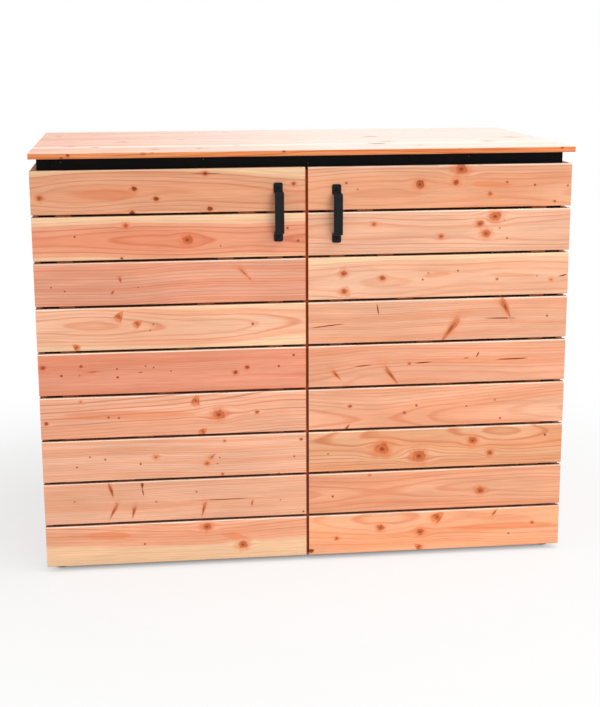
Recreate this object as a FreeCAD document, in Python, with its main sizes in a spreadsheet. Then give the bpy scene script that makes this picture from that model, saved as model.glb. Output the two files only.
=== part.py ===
# Wheelie bin store for two bins, in millimetres.
# The front faces -Y, +Z is up, and the origin is the middle of the footprint at ground level.
# A welded frame of square steel tube carries wooden walls, two boarded doors and a boarded lid.
import FreeCAD, Part
import math
import os
import re
import Sketcher

doc = FreeCAD.newDocument("bin_store")
sizes = doc.addObject("Spreadsheet::Sheet", "sizes")

# Driving sizes: name, value and what it is
DRIVING = [
    ("store_width", 1500, "width over the two doors, and of the lid"),
    ("frame_depth", 789, "steel frame, front face to rear face"),
    ("ground_gap", 15, "ground to the lowest boards"),
    ("meeting_gap", 8, "gap between the two doors"),
    ("hinge_space", 14, "back of the doors to the frame, filled by the hinge knuckles"),
    ("lid_rise", 33, "top of the doors to the underside of the lid"),
    ("lid_overhang", 25, "lid past the face of the doors"),
    ("lid_seat_gap", 0.3, "lid to the post caps"),
    ("board_width", 119, "door and wall boards, across the grain"),
    ("board_thick", 18, "door and wall boards"),
    ("board_gap", 7, "between door and wall boards"),
    ("board_count", 9, "boards up a door or a wall"),
    ("board_round", 2.5, "eased long edges of the boards"),
    ("lid_board_count", 7, "boards across the lid"),
    ("lid_board_thick", 15, "lid boards"),
    ("lid_board_gap", 4, "between lid boards"),
    ("side_setback", 3, "side boards behind the front of the frame"),
    ("rear_drop", 9, "rear boards below the level of the door boards"),
    ("batten_width", 42, "battens and braces"),
    ("batten_thick", 18, "battens and braces"),
    ("batten_round", 1.5, "eased long edges of the battens"),
    ("outer_batten_inset", 64, "hinge edge of a door to its outer batten"),
    ("inner_batten_inset", 62, "meeting edge of a door to its inner batten"),
    ("batten_foot_gap", 10, "foot of a door to its battens"),
    ("batten_top_gap", 4, "door battens to the underside of the front rail"),
    ("brace_foot_shift", 12, "outer batten to the brace's middle line at the foot of the door"),
    ("lid_batten_count", 4, "battens under the lid"),
    ("lid_batten_side_gap", 26, "outer lid battens to the side rails"),
    ("lid_batten_gap", 3, "lid battens to the front and rear rails"),
    ("tube_side", 40, "square steel tube, outer side"),
    ("tube_wall", 2, "square steel tube, wall"),
    ("tube_round", 3, "square steel tube, outer corner radius"),
    ("divider_depth", 120, "centre divider, front to back"),
    ("divider_gap", 0.3, "back of the doors to the divider that stops them"),
    ("runner_height", 100, "floor runner between the bins"),
    ("cap_flange", 1.7, "plastic flange that the lid lies on"),
    ("plug_length", 15, "cap or insert, length inside its tube"),
    ("plug_gap", 0.1, "plug to the inside of its tube, each side"),
    ("foot_radius", 20, "levelling foot"),
    ("foot_height", 8, "levelling foot, pad"),
    ("foot_round", 2, "levelling foot, rounded edges"),
    ("foot_stand", 4, "foot pad to the end of the post"),
    ("stud_radius", 5, "stud of the levelling foot"),
    ("stud_gap", 0.1, "stud to its insert, radially"),
    ("leaf_thick", 1.6, "hinge leaf"),
    ("door_leaf_width", 43, "door hinges, pin's axis to the edge of a leaf"),
    ("lid_leaf_width", 25, "lid hinges, pin's axis to the edge of a leaf"),
    ("leaf_height", 76, "hinge, along the pin"),
    ("knuckle_middle", 26, "middle knuckle, along the pin"),
    ("knuckle_gap", 0.3, "knuckles to each other and to what they turn past"),
    ("pin_radius", 3, "hinge pin"),
    ("pin_gap", 0.05, "hinge pin to its bore, radially"),
    ("pin_head_radius", 4.5, "hinge pin's heads"),
    ("pin_head_thick", 1.2, "hinge pin's heads"),
    ("hinge_count", 3, "hinges on each door and on the lid"),
    ("lid_hinge_inset", 250, "end of the lid to the middle of its outer hinges"),
    ("handle_length", 162, "handle, end to end"),
    ("handle_reach", 33, "finger gap behind the grip"),
    ("strap_width", 25, "steel strap of the handle"),
    ("strap_thick", 4, "steel strap of the handle"),
    ("strap_bend", 4, "inner bend radius of the strap"),
    ("handle_foot", 24, "handle foot, along the strap"),
    ("handle_corner", 5, "rounded corners of the handle feet"),
    ("left_handle_inset", 75, "meeting edge of the left door to the middle of its handle"),
    ("right_handle_inset", 79, "meeting edge of the right door to the middle of its handle"),
    ("left_handle_drop", 41, "top of the left door to its handle"),
    ("right_handle_drop", 48, "top of the right door to its handle"),
    ("screw_radius", 2.4, "handle screw, shank"),
    ("screw_gap", 0.1, "handle screw to its hole, radially"),
    ("screw_depth", 14, "handle screw, length in the board"),
    ("screw_head_radius", 4.6, "handle screw, head"),
    ("screw_head_thick", 2.2, "handle screw, head"),
    ("screw_head_round", 1.5, "handle screw, rounded rim of the head"),
    ("catch_width", 20, "magnetic catch, across the store"),
    ("catch_depth", 14, "magnetic catch, front to back"),
    ("catch_height", 45, "magnetic catch"),
    ("catch_round", 2, "magnetic catch, rounded edges"),
    ("strike_thick", 1.5, "strike plate"),
    ("strike_width", 16, "strike plate, across the store"),
    ("strike_height", 32, "strike plate"),
    ("catch_gap", 0.3, "magnetic catch to its strike plate"),
    ("bracket_leg", 40, "angle bracket, each leg"),
    ("bracket_width", 30, "angle bracket, along its bend"),
    ("bracket_thick", 3, "angle brackets and joining plates"),
    ("plate_round", 0.75, "joining plate, eased long edges"),
    ("joining_length", 70, "joining plate over the divider and the runner"),
]

# Sizes that follow from the driving ones
DERIVED = [
    ("board_pitch", "=board_width + board_gap"),
    ("wall_height", "=board_count * board_width + (board_count - 1) * board_gap"),
    ("stack_span", "=(board_count - 1) * board_pitch"),
    ("first_board_middle", "=ground_gap + board_width / 2"),
    ("door_top", "=ground_gap + wall_height"),
    ("lid_under", "=door_top + lid_rise"),
    ("rail_top", "=lid_under - cap_flange - lid_seat_gap"),
    ("rail_low", "=rail_top - tube_side"),
    ("post_low", "=foot_height + foot_stand"),
    ("sill_top", "=post_low + tube_side"),
    ("post_height", "=rail_top - post_low"),
    ("upright_height", "=rail_low - sill_top"),
    ("upright_middle", "=(rail_low + sill_top) / 2"),
    ("tube_half", "=tube_side / 2"),
    ("tube_inside", "=tube_side - 2 * tube_wall"),
    ("frame_half", "=store_width / 2 - board_thick"),
    ("post_middle", "=frame_half - tube_half"),
    ("rail_length", "=2 * (frame_half - tube_side)"),
    ("side_rail_length", "=frame_depth - 2 * tube_side"),
    ("grip_reach", "=handle_reach + strap_thick"),
    ("store_depth", "=grip_reach + 2 * board_thick + hinge_space + frame_depth"),
    ("door_face", "=grip_reach - store_depth / 2"),
    ("door_back", "=door_face + board_thick"),
    ("frame_front", "=door_back + hinge_space"),
    ("frame_back", "=frame_front + frame_depth"),
    ("frame_middle", "=(frame_front + frame_back) / 2"),
    ("store_back", "=frame_back + board_thick"),
    ("front_post_middle", "=frame_front + tube_half"),
    ("rear_post_middle", "=frame_back - tube_half"),
    ("side_front", "=frame_front + side_setback"),
    ("door_width", "=(store_width - meeting_gap) / 2"),
    ("door_middle", "=(store_width + meeting_gap) / 4"),
    ("door_batten_middle", "=door_back + batten_thick / 2"),
    ("door_batten_low", "=ground_gap + batten_foot_gap"),
    ("door_batten_top", "=rail_low - batten_top_gap"),
    ("outer_batten_edge", "=store_width / 2 - outer_batten_inset - batten_width"),
    ("inner_batten_edge", "=meeting_gap / 2 + inner_batten_inset + batten_width"),
    ("brace_run", "=outer_batten_edge - brace_foot_shift - inner_batten_edge"),
    ("brace_blank", "=2 * wall_height"),
    ("lid_front", "=door_face - lid_overhang"),
    ("lid_depth", "=store_back - lid_front"),
    ("lid_board_width", "=(lid_depth - (lid_board_count - 1) * lid_board_gap) / lid_board_count"),
    ("lid_batten_length", "=side_rail_length - 2 * lid_batten_gap"),
    ("lid_batten_span", "=rail_length - 2 * lid_batten_side_gap - batten_width"),
    ("divider_front", "=door_back + divider_gap"),
    ("divider_back", "=divider_front + divider_depth"),
    ("divider_half", "=board_thick / 2"),
    ("rear_rail_front", "=frame_back - tube_side"),
    ("hinge_radius", "=hinge_space / 2"),
    ("knuckle_radius", "=hinge_radius - knuckle_gap"),
    ("hinge_axis_x", "=store_width / 2 - hinge_radius"),
    ("hinge_axis_y", "=door_back + hinge_radius"),
    ("lid_axis_y", "=frame_back + hinge_radius"),
    ("lid_axis_z", "=lid_under - hinge_radius"),
    ("first_hinge", "=first_board_middle + board_pitch"),
    ("hinge_span", "=stack_span - 2 * board_pitch"),
    ("lid_hinge_span", "=store_width - 2 * lid_hinge_inset"),
    ("left_handle_across", "=-1 * (meeting_gap / 2 + left_handle_inset)"),
    ("right_handle_across", "=meeting_gap / 2 + right_handle_inset"),
    ("left_handle_middle", "=door_top - left_handle_drop - handle_length / 2"),
    ("right_handle_middle", "=door_top - right_handle_drop - handle_length / 2"),
    ("screw_spread", "=handle_length - handle_foot"),
    ("catch_front", "=door_back + strike_thick + catch_gap"),
    ("catch_spread", "=stack_span"),
    ("strike_middle", "=divider_half + catch_width / 2"),
]


def fill_sheet(sheet):
    """Write every driving and derived size to a cell of its own."""
    rows = [(name, str(value), note) for name, value, note in DRIVING]
    rows += [(name, content, "") for name, content in DERIVED]
    for row, (name, content, note) in enumerate(rows, start=1):
        sheet.set(f"A{row}", note)
        sheet.set(f"B{row}", content)
        sheet.setAlias(f"B{row}", name)


fill_sheet(sizes)
doc.recompute()

CELL = "sizes."

NAMES = {row[0] for row in DRIVING + DERIVED}


def formula(text):
    """Turn plain size names into references to the sheet's cells."""
    return re.sub("[a-z_]+", lambda word: CELL + word[0] if word[0] in NAMES else word[0], text)


def number(text):
    """Value of a formula of size names."""
    return float(sizes.evalExpression(formula(text)))


def place(piece, x="0", y="0", z="0"):
    """Bind the position of a piece."""
    for axis, text in zip("xyz", (x, y, z)):
        piece.setExpression(f"Placement.Base.{axis}", formula(text))


def origin_feature(body, role):
    """Base plane or axis of a body."""
    return next(item for item in body.Origin.OriginFeatures if item.Role == role)


def new_sketch(body, name, plane):
    """Empty sketch on one of the body's own base planes."""
    sketch = body.newObject("Sketcher::SketchObject", name)
    sketch.AttachmentSupport = [(origin_feature(body, plane), "")]
    sketch.MapMode = "FlatFace"
    return sketch


def bind(sketch, name, constraint, text):
    """Add a constraint whose value follows a formula."""
    index = sketch.addConstraint(constraint)
    sketch.renameConstraint(index, name)
    sketch.setExpression(f"Constraints.{name}", formula(text))


# Sketch points of a line or arc, and a tolerance for finding edges
START, END, CENTRE = 1, 2, 3
ORIGIN = (-1, START)
NEAR = 0.01


def rounded_rectangle(sketch, wide, high, radius, prefix="outer"):
    """Rectangle with rounded corners, centred on the sketch's origin."""
    x = number(wide) / 2
    y = number(high) / 2
    r = number(radius)
    corners = [(x, -y, 1, -1, 270), (x, y, 1, 1, 0), (-x, y, -1, 1, 90), (-x, -y, -1, -1, 180)]
    starts = [(-x + r, -y), (x, -y + r), (x - r, y), (-x, y - r)]
    ends = [(x - r, -y), (x, y - r), (-x + r, y), (-x, -y + r)]
    lines = []
    arcs = []
    for start, end, corner in zip(starts, ends, corners):
        line = Part.LineSegment(FreeCAD.Vector(*start, 0), FreeCAD.Vector(*end, 0))
        lines.append(sketch.addGeometry(line))
        middle = FreeCAD.Vector(corner[0] - corner[2] * r, corner[1] - corner[3] * r, 0)
        circle = Part.Circle(middle, FreeCAD.Vector(0, 0, 1), r)
        begin = math.radians(corner[4])
        arcs.append(sketch.addGeometry(Part.ArcOfCircle(circle, begin, begin + math.pi / 2)))
    for side in range(4):
        sketch.addConstraint(Sketcher.Constraint("Tangent", lines[side], END, arcs[side], START))
        after = lines[(side + 1) % 4]
        sketch.addConstraint(Sketcher.Constraint("Tangent", arcs[side], END, after, START))
    for side, way in enumerate(("Horizontal", "Vertical", "Horizontal", "Vertical")):
        sketch.addConstraint(Sketcher.Constraint(way, lines[side]))
    for arc in arcs[1:]:
        sketch.addConstraint(Sketcher.Constraint("Equal", arcs[0], arc))
    middle = Sketcher.Constraint("Symmetric", lines[0], START, lines[2], START, *ORIGIN)
    sketch.addConstraint(middle)
    bind(sketch, prefix + "_radius", Sketcher.Constraint("Radius", arcs[0], r), radius)
    across = Sketcher.Constraint("DistanceX", lines[3], START, lines[1], START, 2 * x)
    bind(sketch, prefix + "_wide", across, wide)
    upward = Sketcher.Constraint("DistanceY", lines[0], START, lines[2], START, 2 * y)
    bind(sketch, prefix + "_high", upward, high)


def polygon(sketch, corners):
    """Closed outline of level and upright lines."""
    lines = []
    for index, corner in enumerate(corners):
        after = corners[(index + 1) % len(corners)]
        line = Part.LineSegment(FreeCAD.Vector(*corner, 0), FreeCAD.Vector(*after, 0))
        lines.append(sketch.addGeometry(line))
    for index, line in enumerate(lines):
        after = lines[(index + 1) % len(lines)]
        sketch.addConstraint(Sketcher.Constraint("Coincident", line, END, after, START))
        level = corners[index][1] == corners[(index + 1) % len(corners)][1]
        way = "Horizontal" if level else "Vertical"
        sketch.addConstraint(Sketcher.Constraint(way, line))
    return lines


def centred_circle(sketch, radius, x="0", y="0", prefix="hole"):
    """Circle at a bound place of the sketch."""
    middle = FreeCAD.Vector(number(x), number(y), 0)
    circle = sketch.addGeometry(Part.Circle(middle, FreeCAD.Vector(0, 0, 1), number(radius)))
    bind(sketch, prefix + "_radius", Sketcher.Constraint("Radius", circle, number(radius)), radius)
    for way, text in (("X", x), ("Y", y)):
        if text == "0":
            level = "Vertical" if way == "X" else "Horizontal"
            sketch.addConstraint(Sketcher.Constraint(level, circle, CENTRE, *ORIGIN))
        else:
            offset = Sketcher.Constraint("Distance" + way, *ORIGIN, circle, CENTRE, number(text))
            bind(sketch, f"{prefix}_{way.lower()}", offset, text)


def pad(body, name, sketch, length, both_ways=True):
    """Extrude a sketch, to both sides of its plane or to one."""
    feature = body.newObject("PartDesign::Pad", name)
    feature.Profile = sketch
    feature.SideType = "Symmetric" if both_ways else "One side"
    feature.setExpression("Length", formula(length))
    body.Tip = feature
    return feature


def pocket_through(body, name, sketch):
    """Cut a sketch right through the piece, to both sides."""
    feature = body.newObject("PartDesign::Pocket", name)
    feature.Profile = sketch
    feature.SideType = "Symmetric"
    feature.Type = "ThroughAll"
    body.Tip = feature
    return feature


def repeat(body, axis, count, span):
    """Repeat the whole piece, once it is built, along one of the body's axes."""
    doc.recompute()
    feature = body.newObject("PartDesign::LinearPattern", body.Name + "_row")
    feature.TransformMode = "Whole shape"
    feature.Direction = (origin_feature(body, axis), [""])
    feature.setExpression("Length", formula(span))
    feature.setExpression("Occurrences", formula(count))
    body.Tip = feature
    return feature


def new_body(label):
    """Body for one named sub-part."""
    body = doc.addObject("PartDesign::Body", label)
    body.Label = label
    return body


def bar(label, plane, wide, high, radius, length):
    """Straight bar with eased long edges, centred on its own origin."""
    body = new_body(label)
    section = new_sketch(body, label + "_section", plane)
    rounded_rectangle(section, wide, high, radius)
    pad(body, label + "_length", section, length)
    return body


def tube(label, plane, length):
    """Square steel tube, centred on its own origin."""
    body = new_body(label)
    section = new_sketch(body, label + "_section", plane)
    rounded_rectangle(section, "tube_side", "tube_side", "tube_round")
    rounded_rectangle(section, "tube_inside", "tube_inside", "tube_round - tube_wall", "inner")
    pad(body, label + "_length", section, length)
    return body


PARTS = []


def keep(*pieces):
    """Add finished sub-parts to what is written out."""
    PARTS.extend(pieces)


def group(label, pieces):
    """One node of several separate pieces."""
    compound = doc.addObject("Part::Compound", label)
    compound.Label = label
    compound.Links = pieces
    keep(compound)


SIDES = (("left", "-1"), ("right", "1"))

# Steel frame: four posts, a rear middle post, four top rails and three bottom rails
for side, way in SIDES:
    for end, depth in (("front", "front_post_middle"), ("rear", "rear_post_middle")):
        post = tube(f"{end}_{side}_post", "XY_Plane", "post_height")
        place(post, f"{way} * post_middle", depth, "post_low + post_height / 2")
        keep(post)
    for level, height in (("top", "rail_low + tube_half"), ("bottom", "post_low + tube_half")):
        rail = tube(f"{side}_{level}_rail", "XZ_Plane", "side_rail_length")
        place(rail, f"{way} * post_middle", "frame_middle", height)
        keep(rail)

CROSS_RAILS = [
    ("front_top_rail", "front_post_middle", "rail_low + tube_half"),
    ("rear_top_rail", "rear_post_middle", "rail_low + tube_half"),
    ("rear_bottom_rail", "rear_post_middle", "post_low + tube_half"),
]
for label, depth, height in CROSS_RAILS:
    rail = tube(label, "YZ_Plane", "rail_length")
    place(rail, "0", depth, height)
    keep(rail)

middle_post = tube("rear_middle_post", "XY_Plane", "upright_height")
place(middle_post, "0", "rear_post_middle", "upright_middle")
keep(middle_post)


def at_each_post(label, build):
    """Group of four equal pieces, one on the middle line of each post."""
    copies = []
    for side, way in SIDES:
        for end, depth in (("front", "front_post_middle"), ("rear", "rear_post_middle")):
            piece = build(f"{label}_{end}_{side}")
            place(piece, f"{way} * post_middle", depth, "0")
            copies.append(piece)
    group(label, copies)


def plug_section(body, name):
    """Square section of a plug that fits inside the tube."""
    section = new_sketch(body, name, "XY_Plane")
    plug_side = "tube_inside - 2 * plug_gap"
    rounded_rectangle(section, plug_side, plug_side, "tube_round - tube_wall")
    return section


def post_cap(name):
    """Plastic cap: a flange on the end of the post and a plug inside it."""
    body = new_body(name)
    flange = new_sketch(body, name + "_flange_section", "XY_Plane")
    rounded_rectangle(flange, "tube_side", "tube_side", "tube_round")
    flange.setExpression("AttachmentOffset.Base.z", formula("rail_top"))
    pad(body, name + "_flange", flange, "cap_flange", both_ways=False)
    plug = plug_section(body, name + "_plug_section")
    plug.setExpression("AttachmentOffset.Base.z", formula("rail_top - plug_length"))
    pad(body, name + "_plug", plug, "plug_length", both_ways=False)
    return body


def foot_insert(name):
    """Threaded plug in the foot of the post, with the hole for the stud."""
    body = new_body(name)
    plug = plug_section(body, name + "_section")
    centred_circle(plug, "stud_radius + stud_gap")
    plug.setExpression("AttachmentOffset.Base.z", formula("post_low"))
    pad(body, name + "_plug", plug, "plug_length", both_ways=False)
    return body


def levelling_foot(name):
    """Round pad with rounded edges, and the stud that screws into the insert."""
    body = new_body(name)
    disc = new_sketch(body, name + "_disc", "XY_Plane")
    centred_circle(disc, "foot_radius")
    base = pad(body, name + "_pad", disc, "foot_height", both_ways=False)
    doc.recompute()
    rims = [f"Edge{i}" for i, edge in enumerate(base.Shape.Edges, 1) if len(edge.Vertexes) == 1]
    edge_round = body.newObject("PartDesign::Fillet", name + "_rims")
    edge_round.Base = (base, rims)
    edge_round.setExpression("Radius", formula("foot_round"))
    body.Tip = edge_round
    stud = new_sketch(body, name + "_stud_section", "XY_Plane")
    centred_circle(stud, "stud_radius")
    pad(body, name + "_stud", stud, "post_low + plug_length", both_ways=False)
    return body


at_each_post("post_caps", post_cap)
at_each_post("foot_inserts", foot_insert)
at_each_post("levelling_feet", levelling_foot)

# Walls: boards on the side and rear of the frame, and a batten inside each side wall
for side, way in SIDES:
    label = f"{side}_side_boards"
    length = "store_back - side_front"
    boards = bar(label, "XZ_Plane", "board_thick", "board_width", "board_round", length)
    repeat(boards, "Z_Axis", "board_count", "stack_span")
    depth = "(store_back + side_front) / 2"
    place(boards, f"{way} * (frame_half + board_thick / 2)", depth, "first_board_middle")
    keep(boards)

rear_width = "2 * frame_half"
rear_boards = bar("rear_boards", "YZ_Plane", "board_thick", "board_width", "board_round", rear_width)
repeat(rear_boards, "Z_Axis", "board_count", "stack_span")
place(rear_boards, "0", "frame_back + board_thick / 2", "first_board_middle - rear_drop")
keep(rear_boards)

wall_reach = "2 * frame_half - batten_thick"
wall_battens = bar(
    "wall_battens", "XY_Plane", "batten_thick", "batten_width", "batten_round", "upright_height")
repeat(wall_battens, "X_Axis", "2", wall_reach)
place(wall_battens, "batten_thick / 2 - frame_half", "frame_middle", "upright_middle")
keep(wall_battens)

# Centre divider and floor runner, which part the two bins and stop the doors
divider_height = "rail_low - ground_gap"
divider = bar(
    "centre_divider", "XY_Plane", "board_thick", "divider_depth", "board_round", divider_height)
place(divider, "0", "divider_front + divider_depth / 2", "(rail_low + ground_gap) / 2")
keep(divider)

runner_length = "rear_rail_front - divider_back"
runner = bar("floor_runner", "XZ_Plane", "board_thick", "runner_height", "board_round", runner_length)
place(runner, "0", "(rear_rail_front + divider_back) / 2", "ground_gap + runner_height / 2")
keep(runner)


def angle_bracket(name):
    """Angle bracket: legs along +X and +Z from its corner, bend along Y."""
    body = new_body(name)
    profile = new_sketch(body, name + "_section", "XZ_Plane")
    leg = number("bracket_leg")
    thick = number("bracket_thick")
    corners = [(0, 0), (leg, 0), (leg, thick), (thick, thick), (thick, leg), (0, leg)]
    lines = polygon(profile, corners)
    profile.addConstraint(Sketcher.Constraint("Coincident", lines[0], START, *ORIGIN))
    across = Sketcher.Constraint("DistanceX", lines[0], START, lines[0], END, leg)
    bind(profile, "leg_across", across, "bracket_leg")
    upward = Sketcher.Constraint("DistanceY", lines[5], END, lines[5], START, leg)
    bind(profile, "leg_up", upward, "bracket_leg")
    lower = Sketcher.Constraint("DistanceY", lines[1], START, lines[1], END, thick)
    bind(profile, "thick_across", lower, "bracket_thick")
    upper = Sketcher.Constraint("DistanceX", lines[4], END, lines[4], START, thick)
    bind(profile, "thick_up", upper, "bracket_thick")
    pad(body, name + "_width", profile, "bracket_width")
    return body


def turn(piece, x_to, y_to):
    """Turn a piece so that its own X and Y axes point the given ways."""
    first = FreeCAD.Vector(*x_to)
    second = FreeCAD.Vector(*y_to)
    piece.Placement.Rotation = FreeCAD.Rotation(first, second, first.cross(second), "XYZ")


brackets = []
for side, way in SIDES:
    outward = int(way)
    under_rail = angle_bracket(f"rail_bracket_{side}")
    turn(under_rail, (outward, 0, 0), (0, -outward, 0))
    place(under_rail, f"{way} * divider_half", "front_post_middle", "rail_low")
    on_sill = angle_bracket(f"sill_bracket_{side}")
    turn(on_sill, (outward, 0, 0), (0, 0, outward))
    place(on_sill, f"{way} * divider_half", "rear_rail_front", "post_low + tube_half")
    plate = bar(
        f"joining_plate_{side}",
        "XZ_Plane", "bracket_thick", "bracket_width", "plate_round", "joining_length")
    plate_middle = f"{way} * (divider_half + bracket_thick / 2)"
    place(plate, plate_middle, "divider_back", "ground_gap + runner_height / 2")
    brackets += [under_rail, on_sill, plate]
group("divider_brackets", brackets)

# Doors: nine boards on two battens and a diagonal brace
def screw_holes(board, side, way, level):
    """Blind holes for the handle screws that fall on this board."""
    for end, step in (("low", "-"), ("high", "+")):
        height = f"{side}_handle_middle {step} screw_spread / 2 - ({level})"
        if abs(number(height)) < number("board_width / 2"):
            name = f"{board.Name}_{end}"
            sketch = new_sketch(board, name + "_hole", "XZ_Plane")
            across = f"{side}_handle_across - {way} * door_middle"
            centred_circle(sketch, "screw_radius + screw_gap", across, height)
            sketch.setExpression("AttachmentOffset.Base.z", formula("board_thick / 2"))
            hole = board.newObject("PartDesign::Pocket", name + "_bore")
            hole.Profile = sketch
            hole.setExpression("Length", formula("screw_depth + board_round / 2"))
            board.Tip = hole


for side, way in SIDES:
    for index in range(int(number("board_count"))):
        label = f"{side}_door_board_{index + 1}"
        board = bar(label, "YZ_Plane", "board_thick", "board_width", "board_round", "door_width")
        level = f"door_top - board_width / 2 - {index} * board_pitch"
        screw_holes(board, side, way, level)
        place(board, f"{way} * door_middle", "door_face + board_thick / 2", level)
        keep(board)

    label = f"{side}_door_battens"
    rise = "door_batten_top - door_batten_low"
    battens = bar(label, "XY_Plane", "batten_width", "batten_thick", "batten_round", rise)
    batten_span = "outer_batten_edge + batten_width - inner_batten_edge"
    repeat(battens, "X_Axis", "2", batten_span)
    first = "inner_batten_edge - batten_width / 2"
    if side == "left":
        first = "-1 * outer_batten_edge - batten_width / 2"
    place(battens, first, "door_batten_middle", "(door_batten_top + door_batten_low) / 2")
    keep(battens)

    blank = bar(
        f"{side}_brace_blank",
        "XY_Plane", "batten_width", "batten_thick", "batten_round", "brace_blank")
    tilt_axis = FreeCAD.Vector(0, -int(way), 0)
    tilt = math.degrees(math.atan(number("brace_run / wall_height")))
    blank.Placement.Rotation = FreeCAD.Rotation(tilt_axis, tilt)
    blank.setExpression("Placement.Rotation.Angle", formula("atan(brace_run / wall_height)"))
    brace_middle = f"{way} * (inner_batten_edge + brace_run / 2)"
    place(blank, brace_middle, "door_batten_middle", "ground_gap + wall_height / 2")
    space = doc.addObject("Part::Box", f"{side}_brace_space")
    space.setExpression("Length", formula("outer_batten_edge - inner_batten_edge"))
    space.setExpression("Width", formula("batten_thick"))
    space.setExpression("Height", formula("door_batten_top - door_batten_low"))
    corner = "inner_batten_edge" if side == "right" else "-1 * outer_batten_edge"
    place(space, corner, "door_back", "door_batten_low")
    brace = doc.addObject("Part::Common", f"{side}_door_brace")
    brace.Label = f"{side}_door_brace"
    brace.Base = blank
    brace.Tool = space
    keep(brace)


def edges_near(shape, spots, direction):
    """Names of the straight edges along a direction that pass through given spots."""
    found = []
    for index, edge in enumerate(shape.Edges, 1):
        if len(edge.Vertexes) != 2:
            continue
        run = edge.Vertexes[1].Point - edge.Vertexes[0].Point
        if run.cross(direction).Length > NEAR:
            continue
        for spot in spots:
            across = (edge.CenterOfMass - spot).cross(direction).Length
            if across < NEAR:
                found.append(f"Edge{index}")
    return found


def bow_handle(name):
    """Flat steel strap bent into a bow, with a foot and a screw hole at each end."""
    body = new_body(name)
    side_view = new_sketch(body, name + "_side_view", "YZ_Plane")
    half = number("handle_length") / 2
    thick = number("strap_thick")
    reach = number("handle_reach")
    leg = half - number("handle_foot")
    right_half = [
        (0, half), (-thick, half), (-thick, leg), (-reach - thick, leg)]
    left_half = [(-reach - thick, -leg), (-thick, -leg), (-thick, -half), (0, -half)]
    inner = [(0, thick - leg), (-reach, thick - leg), (-reach, leg - thick), (0, leg - thick)]
    lines = polygon(side_view, right_half + left_half + inner)
    far_foot, near_foot = lines[0], lines[6]
    middle = Sketcher.Constraint("Symmetric", far_foot, START, near_foot, END, *ORIGIN)
    side_view.addConstraint(middle)
    for pair in ((far_foot, near_foot), (lines[1], lines[5]), (lines[7], lines[11])):
        side_view.addConstraint(Sketcher.Constraint("Equal", *pair))
    inner_foot = Sketcher.Constraint("Vertical", lines[7], END, lines[11], START)
    side_view.addConstraint(inner_foot)
    length = Sketcher.Constraint("DistanceY", near_foot, END, far_foot, START, 2 * half)
    bind(side_view, "handle_length", length, "handle_length")
    strap = Sketcher.Constraint("DistanceX", far_foot, END, far_foot, START, thick)
    bind(side_view, "strap_thick", strap, "strap_thick")
    foot = Sketcher.Constraint("DistanceY", lines[1], END, lines[1], START, half - leg)
    bind(side_view, "handle_foot", foot, "handle_foot")
    stand = Sketcher.Constraint("DistanceX", lines[10], START, lines[10], END, reach)
    bind(side_view, "handle_reach", stand, "handle_reach")
    grip = Sketcher.Constraint("DistanceX", lines[2], END, lines[10], START, thick)
    bind(side_view, "grip_thick", grip, "strap_thick")
    leg_thick = Sketcher.Constraint("DistanceY", lines[10], START, lines[2], END, thick)
    bind(side_view, "leg_thick", leg_thick, "strap_thick")
    strap_pad = pad(body, name + "_strap", side_view, "strap_width")
    doc.recompute()

    along = FreeCAD.Vector(1, 0, 0)
    inner_spots = []
    outer_spots = []
    for sign in (1, -1):
        inner_spots.append(FreeCAD.Vector(0, -thick, sign * leg))
        inner_spots.append(FreeCAD.Vector(0, -reach, sign * (leg - thick)))
        outer_spots.append(FreeCAD.Vector(0, 0, sign * (leg - thick)))
        outer_spots.append(FreeCAD.Vector(0, -reach - thick, sign * leg))
    inside = body.newObject("PartDesign::Fillet", name + "_inner_bends")
    inside.Base = (strap_pad, edges_near(strap_pad.Shape, inner_spots, along))
    inside.setExpression("Radius", formula("strap_bend"))
    doc.recompute()
    outside = body.newObject("PartDesign::Fillet", name + "_outer_bends")
    outside.Base = (inside, edges_near(inside.Shape, outer_spots, along))
    outside.setExpression("Radius", formula("strap_bend + strap_thick"))
    doc.recompute()
    foot_spots = []
    half_width = number("strap_width") / 2
    for sign in (1, -1):
        foot_spots.append(FreeCAD.Vector(half_width, 0, sign * half))
        foot_spots.append(FreeCAD.Vector(-half_width, 0, sign * half))
    corners = body.newObject("PartDesign::Fillet", name + "_foot_corners")
    corners.Base = (outside, edges_near(outside.Shape, foot_spots, FreeCAD.Vector(0, 1, 0)))
    corners.setExpression("Radius", formula("handle_corner"))
    body.Tip = corners

    holes = new_sketch(body, name + "_holes", "XZ_Plane")
    hole_radius = "screw_radius + screw_gap"
    centred_circle(holes, hole_radius, "0", "screw_spread / 2", "high")
    centred_circle(holes, hole_radius, "0", "-1 * screw_spread / 2", "low")
    pocket_through(body, name + "_drilling", holes)
    return body


def round_bar(body, name, plane, radius, start, length):
    """Cylinder on the body's middle line, from a height along the plane's normal."""
    sketch = new_sketch(body, name + "_circle", plane)
    centred_circle(sketch, radius)
    sketch.setExpression("AttachmentOffset.Base.z", formula(start))
    return pad(body, name, sketch, length, both_ways=False)


def handle_screw(name):
    """Pan head screw: the head on the strap, the shank through it into the board."""
    body = new_body(name)
    head = round_bar(
        body, name + "_head", "XZ_Plane", "screw_head_radius", "strap_thick", "screw_head_thick")
    doc.recompute()
    outermost = min(head.Shape.Edges, key=lambda edge: edge.BoundBox.YMax)
    rim = [f"Edge{i}" for i, edge in enumerate(head.Shape.Edges, 1) if edge.isSame(outermost)]
    dome = body.newObject("PartDesign::Fillet", name + "_dome")
    dome.Base = (head, rim)
    dome.setExpression("Radius", formula("screw_head_round"))
    body.Tip = dome
    shank_length = "screw_depth + strap_thick"
    round_bar(body, name + "_shank", "XZ_Plane", "screw_radius", "-1 * screw_depth", shank_length)
    return body


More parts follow.
